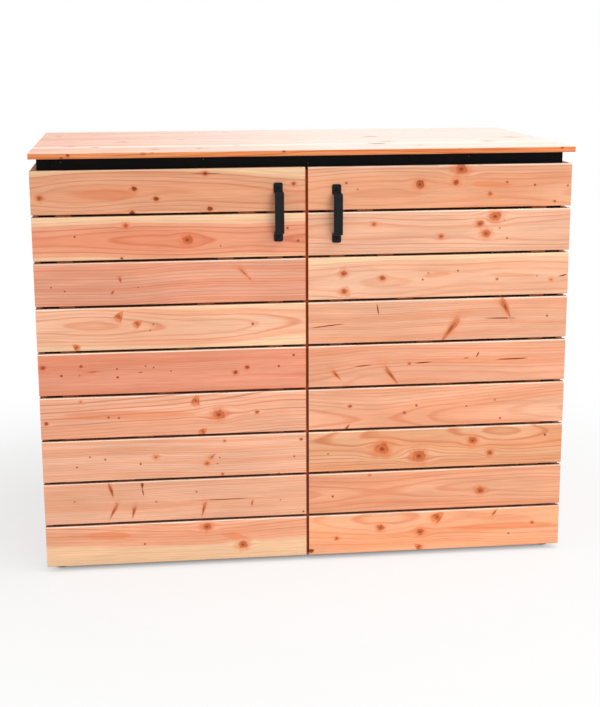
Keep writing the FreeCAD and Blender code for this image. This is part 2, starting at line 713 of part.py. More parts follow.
for side in ("left", "right"):
    handle = bow_handle(f"{side}_door_handle")
    across = f"{side}_handle_across"
    place(handle, across, "door_face", f"{side}_handle_middle")
    screws = handle_screw(f"{side}_handle_screws")
    repeat(screws, "Z_Axis", "2", "screw_spread")
    place(screws, across, "door_face", f"{side}_handle_middle - screw_spread / 2")
    keep(handle, screws)

# Magnetic catches on the divider, and their strike plates on the backs of the doors
catches = []
for side, way in SIDES:
    catch = bar(
        f"{side}_catches",
        "XZ_Plane", "catch_width", "catch_height", "catch_round", "catch_depth")
    repeat(catch, "Z_Axis", "2", "catch_spread")
    place(catch, f"{way} * strike_middle", "catch_front + catch_depth / 2", "first_board_middle")
    catches.append(catch)
    strike = bar(
        f"{side}_strike_plates",
        "XZ_Plane", "strike_width", "strike_height", "strike_thick", "strike_thick")
    repeat(strike, "Z_Axis", "2", "catch_spread")
    place(strike, f"{way} * strike_middle", "door_back + strike_thick / 2", "first_board_middle")
    keep(strike)
group("magnetic_catches", catches)

# Lid: boards from side to side on battens that lie inside the frame
lid_boards = bar(
    "lid_boards", "YZ_Plane", "lid_board_width", "lid_board_thick", "board_round", "store_width")
repeat(lid_boards, "Y_Axis", "lid_board_count", "lid_depth - lid_board_width")
place(lid_boards, "0", "lid_front + lid_board_width / 2", "lid_under + lid_board_thick / 2")
keep(lid_boards)

lid_battens = bar(
    "lid_battens", "XZ_Plane", "batten_width", "batten_thick", "batten_round", "lid_batten_length")
repeat(lid_battens, "X_Axis", "lid_batten_count", "lid_batten_span")
place(lid_battens, "lid_batten_span / -2", "frame_middle", "lid_under - batten_thick / 2")
keep(lid_battens)


def leaf_plate(body, name, start, width, length):
    """Flat of a hinge leaf, which lies just outside its knuckle."""
    sketch = new_sketch(body, name + "_outline", "XY_Plane")
    left = number(start)
    right = number(width)
    top = number("hinge_radius")
    low = top - number("leaf_thick")
    lines = polygon(sketch, [(left, low), (right, low), (right, top), (left, top)])
    if start == "0":
        sketch.addConstraint(Sketcher.Constraint("Vertical", lines[0], START, *ORIGIN))
    else:
        offset = Sketcher.Constraint("DistanceX", *ORIGIN, lines[0], START, left)
        bind(sketch, "start", offset, start)
    edge = Sketcher.Constraint("DistanceX", *ORIGIN, lines[0], END, right)
    bind(sketch, "edge", edge, width)
    outside = Sketcher.Constraint("DistanceY", *ORIGIN, lines[2], START, top)
    bind(sketch, "outside", outside, "hinge_radius")
    thick = Sketcher.Constraint("DistanceY", lines[1], START, lines[1], END, top - low)
    bind(sketch, "thick", thick, "leaf_thick")
    return pad(body, name, sketch, length)


def hinge_leaf(name, width, carries_middle):
    """Hinge leaf: pin along Z, flat towards +X on the +Y side, one or two knuckles."""
    body = new_body(name)
    length = "knuckle_middle" if carries_middle else "leaf_height"
    knuckle = new_sketch(body, name + "_knuckle_circle", "XY_Plane")
    centred_circle(knuckle, "knuckle_radius")
    pad(body, name + "_knuckle", knuckle, length)
    leaf_plate(body, name + "_flat", "0", width, length)
    if carries_middle:
        outer_start = "hinge_radius + knuckle_gap"
        leaf_plate(body, name + "_outer_flat", outer_start, width, "leaf_height")
    else:
        notch = new_sketch(body, name + "_notch_outline", "XY_Plane")
        notch_side = "2 * (hinge_radius + knuckle_gap)"
        rounded_rectangle(notch, notch_side, notch_side, "knuckle_gap")
        notch_cut = body.newObject("PartDesign::Pocket", name + "_notch")
        notch_cut.Profile = notch
        notch_cut.SideType = "Symmetric"
        notch_cut.setExpression("Length", formula("knuckle_middle + 2 * knuckle_gap"))
        body.Tip = notch_cut
    bore = new_sketch(body, name + "_bore_circle", "XY_Plane")
    centred_circle(bore, "pin_radius + pin_gap")
    pocket_through(body, name + "_bore", bore)
    return body


def hinge_pin(name):
    """Hinge pin with a flat head at each end."""
    body = new_body(name)
    shank = new_sketch(body, name + "_shank_circle", "XY_Plane")
    centred_circle(shank, "pin_radius")
    pad(body, name + "_shank", shank, "leaf_height")
    high_head = "leaf_height / 2"
    low_head = "-1 * leaf_height / 2 - pin_head_thick"
    round_bar(body, name + "_head", "XY_Plane", "pin_head_radius", high_head, "pin_head_thick")
    round_bar(body, name + "_foot", "XY_Plane", "pin_head_radius", low_head, "pin_head_thick")
    return body


# Hinges: a row on the outer edge of each door and a row along the rear of the lid
def door_hinge_row(piece, way, to_frame):
    """Set a row of hinge pieces on the outer edge of a door."""
    inward = -int(way)
    turn(piece, (inward, 0, 0), (0, to_frame, 0))
    repeat(piece, "Z_Axis", "hinge_count", "hinge_span")
    lowest = "first_hinge" if inward * to_frame > 0 else "first_hinge + hinge_span"
    place(piece, f"{way} * hinge_axis_x", "hinge_axis_y", lowest)


def lid_hinge_row(piece, x_to, y_to):
    """Set a row of hinge pieces along the rear of the lid."""
    turn(piece, x_to, y_to)
    repeat(piece, "Z_Axis", "hinge_count", "lid_hinge_span")
    place(piece, "lid_hinge_span / 2", "lid_axis_y", "lid_axis_z")


pins = []
for side, way in SIDES:
    frame_leaves = hinge_leaf(f"{side}_hinge_frame_leaves", "door_leaf_width", False)
    door_hinge_row(frame_leaves, way, 1)
    door_leaves = hinge_leaf(f"{side}_hinge_door_leaves", "door_leaf_width", True)
    door_hinge_row(door_leaves, way, -1)
    keep(frame_leaves, door_leaves)
    pin = hinge_pin(f"{side}_pins")
    door_hinge_row(pin, way, 1)
    pins.append(pin)

rail_leaves = hinge_leaf("lid_hinge_frame_leaves", "lid_leaf_width", False)
lid_hinge_row(rail_leaves, (0, 0, -1), (0, -1, 0))
lid_leaves = hinge_leaf("lid_hinge_lid_leaves", "lid_leaf_width", True)
lid_hinge_row(lid_leaves, (0, -1, 0), (0, 0, 1))
keep(rail_leaves, lid_leaves)
pin = hinge_pin("lid_pins")
lid_hinge_row(pin, (0, 0, -1), (0, -1, 0))
pins.append(pin)
group("hinge_pins", pins)

doc.recompute()

# Check every object, then write one file for each sub-part
for item in doc.Objects:
    if "Invalid" in item.State or "Error" in item.State:
        raise RuntimeError(f"{item.Name} failed: {item.State} {item.getStatusString()}")
for piece in PARTS:
    if piece.Shape.isNull() or not piece.Shape.isValid() or not piece.Shape.Solids:
        raise RuntimeError(f"{piece.Label} has no valid shape")

os.makedirs("parts", exist_ok=True)
for piece in PARTS:
    piece.Shape.exportStep(f"parts/{piece.Label}.step")
print(f"{len(PARTS)} sub-parts written")
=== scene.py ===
import math
import bmesh
import bpy
from mathutils import Matrix, Vector


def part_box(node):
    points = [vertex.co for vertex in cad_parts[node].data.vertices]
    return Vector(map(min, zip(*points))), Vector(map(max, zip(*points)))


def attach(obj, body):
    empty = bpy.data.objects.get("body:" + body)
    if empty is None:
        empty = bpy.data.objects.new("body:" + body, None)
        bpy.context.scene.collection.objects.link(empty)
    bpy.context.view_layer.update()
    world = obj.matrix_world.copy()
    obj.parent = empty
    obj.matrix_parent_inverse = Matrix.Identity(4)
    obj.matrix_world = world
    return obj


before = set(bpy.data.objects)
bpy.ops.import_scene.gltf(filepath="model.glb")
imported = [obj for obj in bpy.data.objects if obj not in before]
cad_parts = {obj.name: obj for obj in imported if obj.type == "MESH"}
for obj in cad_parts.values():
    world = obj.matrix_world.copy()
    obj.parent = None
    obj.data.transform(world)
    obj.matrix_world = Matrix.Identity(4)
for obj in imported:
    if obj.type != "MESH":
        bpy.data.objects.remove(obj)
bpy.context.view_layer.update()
scene = bpy.context.scene
scene.view_settings.view_transform = "Standard"


# Camera
# Stands at eye height, a little left of the middle, and looks slightly down and to the right.
PHOTO_WIDE = 600
PHOTO_HIGH = 707
FOCAL_PIXELS = 1386.6
EYE = Vector((-0.4692, -4.1888, 1.4876))
LOOK_DOWN = math.radians(12.83)
LOOK_ASIDE = math.radians(-6.755)
LEAN = math.radians(-0.25)

aim = Matrix.Rotation(LOOK_ASIDE, 3, "Z")
aim = aim @ Matrix.Rotation(math.radians(90) - LOOK_DOWN, 3, "X")
aim = aim @ Matrix.Rotation(LEAN, 3, "Z")
lens = bpy.data.cameras.new("camera")
lens.lens = FOCAL_PIXELS * lens.sensor_width / PHOTO_HIGH
camera = bpy.data.objects.new("camera", lens)
camera.location = EYE
camera.rotation_euler = aim.to_euler()
scene.collection.objects.link(camera)
scene.camera = camera


# Studio
# A pale floor that keeps the store's shadow and runs out into a white surround, and large soft lamps.
class Signal:
    """Output of a shader node. A sum with it adds a Math or Vector Math node to its tree."""

    def __init__(self, tree, socket):
        self.tree = tree
        self.socket = socket

    def __add__(self, other):
        return maths("ADD", self, other)

    def __sub__(self, other):
        return maths("SUBTRACT", self, other)

    def __rsub__(self, other):
        return maths("SUBTRACT", other, self)

    def __mul__(self, other):
        return maths("MULTIPLY", self, other)

    def __truediv__(self, other):
        return maths("DIVIDE", self, other)


def feed(tree, node, values):
    """Set a node's inputs, by name or number, to plain values or to other nodes' outputs."""
    for label, value in values.items():
        socket = node.inputs[label]
        if isinstance(value, Signal):
            tree.links.new(value.socket, socket)
        else:
            socket.default_value = value


def add_node(kind, values, result=0, tree=None, **settings):
    """New shader node, in the tree of its inputs, with its settings: one of its outputs."""
    if tree is None:
        tree = next(value.tree for value in values.values() if isinstance(value, Signal))
    node = tree.nodes.new("ShaderNode" + kind)
    for setting, value in settings.items():
        setattr(node, setting, value)
    feed(tree, node, values)
    return Signal(tree, node.outputs[result])


def maths(operation, *values):
    """Result of a Math node, or of a Vector Math node where a vector or a colour goes in."""
    wide = any(
        isinstance(value, tuple) or isinstance(value, Signal) and value.socket.type != "VALUE"
        for value in values)
    to_number = operation in ("LENGTH", "DISTANCE", "DOT_PRODUCT")
    return add_node(
        "VectorMath" if wide else "Math", dict(enumerate(values)),
        "Vector" if wide and not to_number else "Value", operation=operation)


def highest(first, *others):
    """Highest of some numbers."""
    for other in others:
        first = maths("MAXIMUM", first, other)
    return first


def fade(value, low, high, start=0.0, end=1.0):
    """Smooth change from start to end while a value goes from low to high."""
    return add_node(
        "MapRange",
        {"Value": value, "From Min": low, "From Max": high, "To Min": start, "To Max": end},
        interpolation_type="SMOOTHSTEP")


def parts(vector):
    """Three numbers of a vector."""
    node = add_node("SeparateXYZ", {0: vector}).socket.node
    return [Signal(vector.tree, output) for output in node.outputs]


def coordinates(tree, kind="Object"):
    """Place on the surface, in metres."""
    return add_node("TexCoord", {}, kind, tree)


def new_material(name):
    """Material with its node tree and its Principled shader."""
    material = bpy.data.materials.new(name)
    material.use_nodes = True
    return material, material.node_tree, material.node_tree.nodes["Principled BSDF"]


def finished(name, shape):
    """Mesh from a bmesh, which it frees."""
    mesh = bpy.data.meshes.new(name)
    shape.to_mesh(mesh)
    shape.free()
    return mesh


def link_mesh(name, shape, material):
    """Object at the origin from a finished bmesh."""
    mesh = finished(name, shape)
    mesh.materials.append(material)
    piece = bpy.data.objects.new(name, mesh)
    scene.collection.objects.link(piece)
    return piece


FLOOR_REACH = 9.0
STORE_REACH = (0.75, 0.42, 0)
WHITE = (1, 1, 1, 1)
pale, tree, shader = new_material("pale floor")
feed(tree, shader, {"Base Color": (0.86, 0.86, 0.86, 1), "Roughness": 0.8, "Specular IOR Level": 0.1})
past_x, past_y, _ = parts(maths("ABSOLUTE", coordinates(tree)) - STORE_REACH)
share = fade(maths("LENGTH", coordinates(tree)), 0.8, 2.0, 0.72, 1.0)
share = share * add_node("LightPath", {}, "Is Camera Ray", tree)
share = fade(highest(past_x, past_y), -0.1, 0.02) * share
glow = add_node("Emission", {"Color": WHITE}, tree=tree)
mixed = add_node("MixShader", {0: share, 1: Signal(tree, shader.outputs[0]), 2: glow})
feed(tree, tree.nodes["Material Output"], {"Surface": mixed})
ground = bmesh.new()
bmesh.ops.create_circle(ground, cap_ends=True, segments=64, radius=FLOOR_REACH)
floor = link_mesh("floor", ground, pale)

surround = bpy.data.worlds.new("surround")
scene.world = surround
surround.use_nodes = True
tree = surround.node_tree
rays = [add_node("LightPath", {}, f"Is {kind} Ray", tree) for kind in ("Camera", "Glossy", "Transmission")]
feed(tree, tree.nodes["Background"], {
    "Color": WHITE, "Strength": fade(highest(*rays), 0.0, 1.0, 0.45, 1.0)})


def soft_lamp(name, spot, target, side, power):
    """Square lamp, aimed at a point, which shows in no shine: seen from behind, the lid would glare."""
    lamp = bpy.data.lights.new(name, "AREA")
    lamp.size = side
    lamp.energy = power
    holder = bpy.data.objects.new(name, lamp)
    holder.location = spot
    holder.rotation_euler = (Vector(target) - Vector(spot)).to_track_quat("-Z", "Y").to_euler()
    holder.visible_glossy = False
    scene.collection.objects.link(holder)


soft_lamp("front lamp", (1.3, -4.6, 2.6), (0, -0.2, 0.6), 2.6, 97)
soft_lamp("high lamp", (1.1, -0.8, 3.9), (0.3, 0.0, 1.0), 2.2, 70)


# Door boards
# Nine planed boards of reddish softwood on each door, untreated, each cut from another part of a log.
# They are screwed on from behind, so no screws show. Board 1 is the top one.
def new_group(name, inputs, outputs):
    """Empty node group and its inputs, whose kinds follow from their plain values."""
    group = bpy.data.node_groups.new(name, "ShaderNodeTree")
    for label, value in inputs.items():
        kind = {3: "Vector", 4: "Color"}[len(value)] if isinstance(value, tuple) else "Float"
        socket = group.interface.new_socket(label, in_out="INPUT", socket_type="NodeSocket" + kind)
        socket.default_value = value
    for label, kind in outputs.items():
        group.interface.new_socket(label, in_out="OUTPUT", socket_type="NodeSocket" + kind)
    sockets = group.nodes.new("NodeGroupInput").outputs
    return group, {label: Signal(group, sockets[label]) for label in inputs}


def give(group, **results):
    """Join results to the outputs of a node group."""
    wanted = group.nodes.new("NodeGroupOutput").inputs
    for label, result in results.items():
        group.links.new(result.socket, wanted[label])


def place_group(group, values):
    """Use a node group: its outputs by name."""
    made = add_node("Group", values, node_tree=group)
    return {output.name: Signal(made.tree, output) for output in made.socket.node.outputs}


def noise(place, detail=2.0, kind="Fac", rough=0.5):
    """Noise at a place that is already scaled."""
    return add_node(
        "TexNoise", {"Vector": place, "Scale": 1.0, "Detail": detail, "Roughness": rough}, kind)


def vector_of(x, y, z):
    """Vector from three numbers."""
    return add_node("CombineXYZ", {0: x, 1: y, 2: z})


def scale(vector, amount):
    """Vector times a number."""
    return add_node("VectorMath", {0: vector, "Scale": amount}, operation="SCALE")


def turn(vector, angle):
    """Vector turned about the axis that runs through the board."""
    return add_node("VectorRotate", {"Vector": vector, "Angle": angle}, rotation_type="Y_AXIS")


def shade(colour, level):
    """Colour, darker or lighter."""
    return colour * vector_of(level, level, level)


def mix_colour(amount, first, second):
    """Mix of two colours."""
    return add_node("Mix", {0: amount, 6: first, 7: second}, 2, data_type="RGBA")


def on_screen(red, green, blue):
    """Colour as it looks on screen, from 0 to 255, as the shaders want it."""
    levels = []
    for level in (red, green, blue):
        part = level / 255
        levels.append(part / 12.92 if part <= 0.04045 else ((part + 0.055) / 1.055) ** 2.4)
    return (*levels, 1.0)


# A knot is a branch cut across: a heart little darker than the wood, with a pith, rings of its own and
# a dark rim. The wood round it is redder, and the board's rings flow past it. A branch cut along its
# length tapers, and a torn one is frayed.
ZERO = (0, 0, 0)
KNOT_OUTPUTS = {"Shift": "Vector", "Heart": "Float", "Rim": "Float", "Glow": "Float", "Ring": "Float"}
knot_group, given = new_group("knot", {
    "Place": ZERO, "Middle": ZERO, "Size": (0.01, 1, 0.01), "Turn": 0.0, "Taper": 0.0, "Fray": 0.0,
    "Pull": 1.0}, KNOT_OUTPUTS)
away = (given["Place"] - given["Middle"]) * (1, 0, 1)
scaled = turn(away, given["Turn"]) / given["Size"]
slim = highest(1.0 - parts(scaled)[0] * given["Taper"], 0.3)
scaled = scaled / vector_of(1.0, 1.0, slim)
uneven = noise(maths("MULTIPLY_ADD", given["Middle"], (40, 0, 40), scaled), 1.0)
round_reach = maths("LENGTH", scaled)
reach = round_reach * fade(uneven, 0.3, 0.7, 0.84, 1.16)
torn = fade(noise(scaled * (0.8, 0, 3.5), 1.0), 0.35, 0.6, -0.5, 0.0)
kept = maths("MULTIPLY_ADD", torn, given["Fray"], 1.0)
heart = fade(reach, 1.1, 0.55) * kept
crescent = fade(maths("DOT_PRODUCT", scaled, (0.55, 0, 0.83)), -0.9, 0.9, 0.35, 1.0)
band = fade(reach, 0.5, 0.82) * fade(reach, 1.15, 0.9) * kept
halo = fade(reach, 2.8, 0.9)
wave = fade(maths("SINE", reach * 17.0), -0.2, 1.0) * 0.6
pith = fade(round_reach, 0.5, 0.15)
hold = fade(maths("LENGTH", scaled * (0.34, 1, 0.62)), 1.7, 0.35, 0.0, 0.9) * given["Pull"]
give(
    knot_group, Shift=scale(away * (0, 0, 1), hold * -1.0), Heart=heart, Rim=band * crescent,
    Glow=halo * halo, Ring=highest(wave, pith) * heart)

# Softwood: yearly rings round the middle of the trunk, pale early wood that ends in a thin dark line,
# redder and paler years in turn, cream sapwood outside the heartwood, fibres, and darker end grain.
softwood, given = new_group("softwood", {
    "Place": ZERO, "Normal": (0, 0, 1), "Trunk": ZERO, "Ring Width": 0.003, "Wander": 0.012,
    "Seed": 0.0, "Contrast": 0.7, "Blush": 0.8, "Sapwood From": 1.0, "Tone": (0.8, 0.4, 0.25, 1),
    "Heart": 0.0, "Rim": 0.0, "Glow": 0.0, "Ring": 0.0, "Darkness": 0.5},
    {"Color": "Color", "Roughness": "Float"})
place, tone = given["Place"], given["Tone"]
seed = given["Seed"] * (7.31, 3.17, 5.53)


def board_noise(stretch, detail=2.0, kind="Fac", rough=0.5):
    """Noise over a board, with its own scale along the grain, through the board and across it."""
    return noise(maths("MULTIPLY_ADD", place, stretch, seed), detail, kind, rough)


MIDDLE_GREY = (0.5, 0.5, 0.5)
drift = scale((board_noise((1.6, 0, 0), 1.0, "Color") - MIDDLE_GREY) * (0, 4, 4), given["Wander"])
warp = (board_noise((5, 26, 26), 2.0, "Color") - MIDDLE_GREY) * (0, 0.0026, 0.0026)
radius = maths("LENGTH", (place - given["Trunk"] + drift + warp) * (0, 1, 1))
uneven = noise(vector_of(radius * 45.0, given["Seed"], 0.0), 1.0)
count = maths("MULTIPLY_ADD", uneven, 0.012, radius) / given["Ring Width"]
part = maths("FRACT", count)
year = maths("FLOOR", count) + given["Seed"]
chance = add_node("TexWhiteNoise", {"W": year}, "Value", noise_dimensions="1D")
clear = 1.0 - given["Heart"]
line = fade(part, 0.5, 0.84) * fade(part, 1.0, 0.86) * fade(chance, 0, 1, 0.5, 1.1)
line = line * given["Contrast"] * clear
blush_at = vector_of(radius * 60.0, given["Seed"], parts(place)[0] * 0.9)
blush = fade(noise(blush_at), 0.38, 0.68) * given["Blush"]
wood = mix_colour(blush, tone * (1.05, 1.12, 1.15), tone * (1.0, 0.84, 0.74))
sap = fade(radius, given["Sapwood From"], given["Sapwood From"] + 0.012)
wood = mix_colour(sap * 0.8, wood, on_screen(250, 216, 174))
line = line * fade(sap, 0.0, 1.0, 1.0, 0.4)
thin = fade(board_noise((2.4, 340, 340), rough=0.6), 0.46, 0.7, 0.0, 0.32)
line = highest(line, thin * clear)
wood = mix_colour(line, wood, tone * (0.84, 0.53, 0.4))
cloud = board_noise((3.5, 20, 20))
fibre = board_noise((14, 420, 420), rough=0.6)
wood = shade(wood, fade(fibre, 0.2, 0.8, 0.94, 1.08) * fade(cloud, 0.3, 0.7, 1.05, 0.93))
wood = mix_colour(given["Glow"] * 0.6, wood, tone * (0.92, 0.48, 0.27))
dark = maths("POWER", given["Darkness"], 1.7)
knot_tone = mix_colour(dark, on_screen(230, 134, 78), on_screen(118, 32, 6))
ring_tone = mix_colour(dark, on_screen(152, 48, 12), on_screen(50, 10, 2))
knot_tone = mix_colour(given["Ring"], knot_tone, ring_tone)
wood = mix_colour(given["Heart"] * 0.88, wood, knot_tone)
rim_tone = mix_colour(dark, on_screen(186, 58, 12), on_screen(66, 12, 0))
rim_share = fade(given["Darkness"], 0.5, 0.8, 0.5, 1.0)
wood = mix_colour(given["Rim"] * rim_share, wood, rim_tone)
pores = fade(noise(scale(place, 1600), 1.0), 0.3, 0.7, 0.5, 0.74)
end = fade(parts(maths("ABSOLUTE", given["Normal"]))[0], 0.7, 0.9)
rough = fade(fibre, 0.2, 0.8, 0.48, 0.64) - line * 0.08
give(softwood, Color=mix_colour(end, wood, shade(wood, pores)), Roughness=highest(rough, end * 0.85))

# Planed skin: raised fibres along the board, and the faint ripples that a planer leaves across it.
planed_group, given = new_group("planed skin", {"Place": ZERO}, {"Height": "Float"})
fibre = noise(given["Place"] * (16, 520, 520), rough=0.6)
ripple = maths("SINE", parts(given["Place"])[0] * 2600.0)
give(planed_group, Height=maths("MULTIPLY_ADD", ripple, 0.05, fibre))


def cover(shader, made, height, strength, depth, specular, metallic=0.0):
    """Give a shader the colour and roughness that a group made, and relief from a height."""
    relief = add_node("Bump", {"Strength": strength, "Distance": depth, "Height": height}, "Normal")
    feed(height.tree, shader, {
        "Base Color": made["Color"], "Roughness": made["Roughness"], "Normal": relief,
        "Specular IOR Level": specular, "Metallic": metallic})


def dress_wood(shader, place, flat, normal, figures):
    """Colour and roughness from the softwood group, relief from the unbent place: the colour."""
    skin = place_group(planed_group, {"Place": flat})
    wood = place_group(softwood, {"Place": place, "Normal": normal, **figures})
    cover(shader, wood, skin["Height"], 0.35, 0.0006, 0.1)
    return wood["Color"]


def sight_on_face(across, down, face, axis=1):
    """Where the line of sight through a pixel of the photograph meets a plane square to an axis."""
    ray = Vector((across - PHOTO_WIDE / 2, PHOTO_HIGH / 2 - down, -FOCAL_PIXELS))
    way = aim @ ray
    return EYE + way * ((face - EYE[axis]) / way[axis])


PIN_WIDE = 0.00345
CRACK_WIDE = 0.0023
TORN_OVER = 1.05


def add_knots(place, branches):
    """Chain of knots: the bent place, and the masks that the softwood group takes.

    A knot thinner than a pencil is only a dark dot, and a very slim one is a crack. One with darkness
    below zero is a red flame, a strong one at -2. A pale one, or one with darkness above 1, is torn
    and has no rim.
    """
    bent = place
    flat = place * (1, 0, 1)
    masks = {"Heart": 0.0, "Rim": 0.0, "Glow": 0.0, "Ring": 0.0, "Darkness": 0.75}
    for middle, size, turned, taper, pull, darkness in branches:
        torn = 0 <= darkness < 0.3 or darkness > TORN_OVER
        darkness -= 1 if darkness > TORN_OVER else 0
        if size[0] < PIN_WIDE:
            dot = fade(
                maths("DISTANCE", flat, middle), size[0] * 1.5, size[0] * 0.5, 0.0, 0.5 + darkness / 2)
            masks["Rim"] = highest(masks["Rim"], dot)
            continue
        knot = place_group(knot_group, {
            "Place": place, "Middle": middle, "Size": size, "Turn": turned, "Taper": taper,
            "Fray": 1.0 if torn else 0.0, "Pull": pull})
        if size[2] < CRACK_WIDE:
            masks["Rim"] = highest(masks["Rim"], knot["Heart"])
            continue
        if darkness < 0:
            flame = (knot["Heart"] + knot["Rim"] * 0.7) * (0.7 if darkness > -2 else 1.3)
            masks["Glow"] = highest(masks["Glow"], flame)
            continue
        bent = bent + knot["Shift"]
        for mask in ("Heart", "Ring") if torn else ("Heart", "Rim", "Ring"):
            masks[mask] = highest(masks[mask], knot[mask])
        masks["Glow"] = highest(masks["Glow"], knot["Glow"] * (0.45 + 0.55 * pull))
        near = fade(knot["Glow"], 0.0, 0.05)
        masks["Darkness"] = maths("MULTIPLY_ADD", near, darkness - masks["Darkness"], masks["Darkness"])
    return bent, masks


def wear(material, *endings):
    """Give their material to the CAD pieces whose names end in one of these."""
    for name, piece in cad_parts.items():
        if name.endswith(endings):
            piece.data.materials.clear()
            piece.data.materials.append(material)


def middle_of(name):
    """Middle of a CAD piece."""
    return tuple((low + high) / 2 for low, high in zip(*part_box(name)))


DOOR_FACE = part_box("left_door_board_1")[0][1]


def door_board(
        side, number, tone, trunk, ring, wander, contrast, sapwood, knots, streaks=(), burrs=()):
    """Dress one door board.

    tone: the board's middle colour on screen. A painted highlight makes it lighter on the upper edge,
    where the light falls, and painted shade makes it dark inside the gaps.
    trunk: depth and height of the trunk's middle from the middle of the board, in millimetres.
    ring: width of a year's ring, in millimetres.
    wander, contrast, sapwood: sway and strength of the rings, and radius where the sapwood starts.
    knots: pixel across and down, radius in millimetres, darkness.
    streaks: cracks, flames and long knots, from pixel to pixel, half width in millimetres, darkness.
    burrs: knots torn by the planer, on a red patch: pixel across and down, radius, lean in degrees.
    """
    name = f"{side}_door_board_{number}"
    low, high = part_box(name)
    middle = middle_of(name)
    material, tree, shader = new_material(name)
    branches = []
    for across, down, radius, dark in knots:
        spot = sight_on_face(across, down, DOOR_FACE)
        size = (radius * 0.00112, 1, radius * 0.00095)
        branches.append(((spot.x, 0, spot.z), size, 0.0, 0.0, 1.0 if radius > 4 else 0.4, dark))
    for across, down, to_across, to_down, half_wide, dark in streaks:
        start = sight_on_face(across, down, DOOR_FACE)
        end = sight_on_face(to_across, to_down, DOOR_FACE)
        spot = (start + end) / 2
        turned = math.atan2(end.z - start.z, end.x - start.x)
        wide = half_wide > 1.5 and dark >= 0
        size = ((end - start).length / 2, 1, half_wide * (0.0014 if wide else 0.0015))
        branches.append(((spot.x, 0, spot.z), size, turned, 0.6 if wide else 0.0, 0.0, dark))
    for across, down, radius, lean in burrs:
        spot = sight_on_face(across, down, DOOR_FACE)
        turned = math.radians(lean)
        for over, swing, long, wide, dark in (
                (0.0, 0, 1.2, 0.75, -2), (0.0, 20, 0.5, 0.34, 0.55), (-0.45, 16, 0.95, 0.2, 1.4),
                (0.5, -12, 0.8, 0.22, 1.5)):
            stroke = spot + Vector((-math.sin(turned), 0, math.cos(turned))) * over * radius / 1000
            size = (radius * long * 0.001, 1, radius * wide * 0.001)
            branches.append((
                (stroke.x, 0, stroke.z), size, math.radians(lean + swing), 0.4, 0.0, dark))
    place, masks = add_knots(coordinates(tree), branches)
    _, inward, upward = parts(coordinates(tree))
    # Painted highlight: the upper eased edge is made lighter, where the light from above falls on it.
    eased = fade(upward, high[2] - 0.005, high[2] - 0.002, 0.0, 0.8)
    toned = mix_colour(eased, on_screen(*tone), on_screen(255, 236, 214))
    # Painted shade: the faces inside the gaps between boards are made dark red-brown.
    from_edge = (high[2] - low[2]) / 2 - maths("ABSOLUTE", upward - middle[2])
    gap_shade = fade(from_edge, 0.0012, 0.0004) * fade(inward, low[1] + 0.002, low[1] + 0.005, 0.0, 0.8)
    toned = mix_colour(gap_shade, toned, on_screen(122, 50, 18))
    dress_wood(shader, place, coordinates(tree), coordinates(tree, "Normal"), {
        "Trunk": (0, middle[1] + trunk[0] / 1000, middle[2] + trunk[1] / 1000),
        "Ring Width": ring / 1000, "Tone": toned, "Wander": wander,
        "Seed": number + (10 if side == "right" else 0),
        "Contrast": contrast, "Sapwood From": sapwood, **masks})
    wear(material, name)


# From the top board down: tone, trunk, ring, wander, contrast, sapwood, knots, streaks and burrs. The
# left door has a cream edge of sapwood along the top of its first two boards and the foot of the last.
door_board(
    "left", 1, (227, 163, 127), (55, -12), 6.0, 0.012, 0.6, 0.079,
    [(134, 189, 6, 0.85), (156, 199, 6, 0.85), (132, 213, 6, 0.9), (210, 209, 6, 0.85),
     (205, 173.6, 5, 0.7), (39, 198.6, 7, 0.5), (293.6, 183.7, 5, 0.6)],
    [(190, 173.8, 222, 173.4, 0.8, 0.6), (71, 194.5, 135, 196, 11, -1)])
door_board(
    "left", 2, (232, 158, 125), (50, -5), 5.6, 0.01, 0.7, 0.071,
    [(125.5, 226, 6, 0.35), (187.2, 240, 12, 0.45), (74.6, 237, 2.4, 0.8), (121.9, 258.5, 3.4, 0.8),
     (287.5, 228, 3, 0.6), (298, 240.7, 3, 0.6), (220.6, 245.7, 1.8, 0.8)])
door_board(
    "left", 3, (230, 163, 134), (50, 160), 8.0, 0.016, 0.8, 1.0,
    [(51, 287.6, 2, 0.7), (64.7, 291.6, 2, 0.7), (138, 287.6, 1.5, 0.8), (250, 278.6, 3, 0.6)],
    [(119, 277, 121, 283, 2.5, 0.4), (238, 267, 251, 279.5, 3.2, 0.25),
     (111.5, 294, 114, 290.5, 2, 0.6)])
door_board(
    "left", 4, (242, 186, 153), (60, 8), 6.0, 0.012, 0.7, 0.078,
    [(153.2, 324.3, 2, 0.7), (150.2, 330.4, 1.8, 0.7), (252.7, 323.9, 3, 0.8)],
    burrs=[(119.3, 316.8, 14, 55), (137.7, 323.9, 12, 35), (76.4, 347.5, 11, 140)])
door_board(
    "left", 5, (231, 154, 124), (60, -200), 4.0, 0.01, 0.6, 1.0,
    [(42.5, 368.2, 6, 0.6), (81, 366.8, 3.6, 0.7), (61.4, 376, 3, 0.8), (79.6, 375.5, 2.6, 0.8),
     (117, 369.1, 2.4, 0.8), (117.7, 377.3, 3, 0.8), (145.5, 366, 2, 0.8), (153.6, 367.5, 2, 0.8),
     (171, 371, 2, 0.6), (235.4, 372.5, 5.5, 0.7), (247, 367.3, 5, 0.7), (278.8, 366, 2.8, 0.8),
     (293.6, 355, 3, 0.8)],
    [(84, 372.8, 104, 371, 2.6, 0.0), (138, 372.4, 143, 372.2, 0.8, 0.9)])
door_board(
    "left", 6, (240, 181, 150), (45, 90), 8.6, 0.016, 0.9, 1.0,
    [(80.7, 402, 4, 0.2), (46.3, 424, 5, 0.7), (108.6, 417.5, 2.8, 0.7), (118.9, 418, 2.6, 0.7),
     (218.8, 414.6, 14, 0.35), (257.1, 412.1, 5, 0.5)],
    [(57, 417, 190, 414, 9, -1)],
    [(196, 400.7, 15, 75), (203.2, 431.6, 12, 40)])
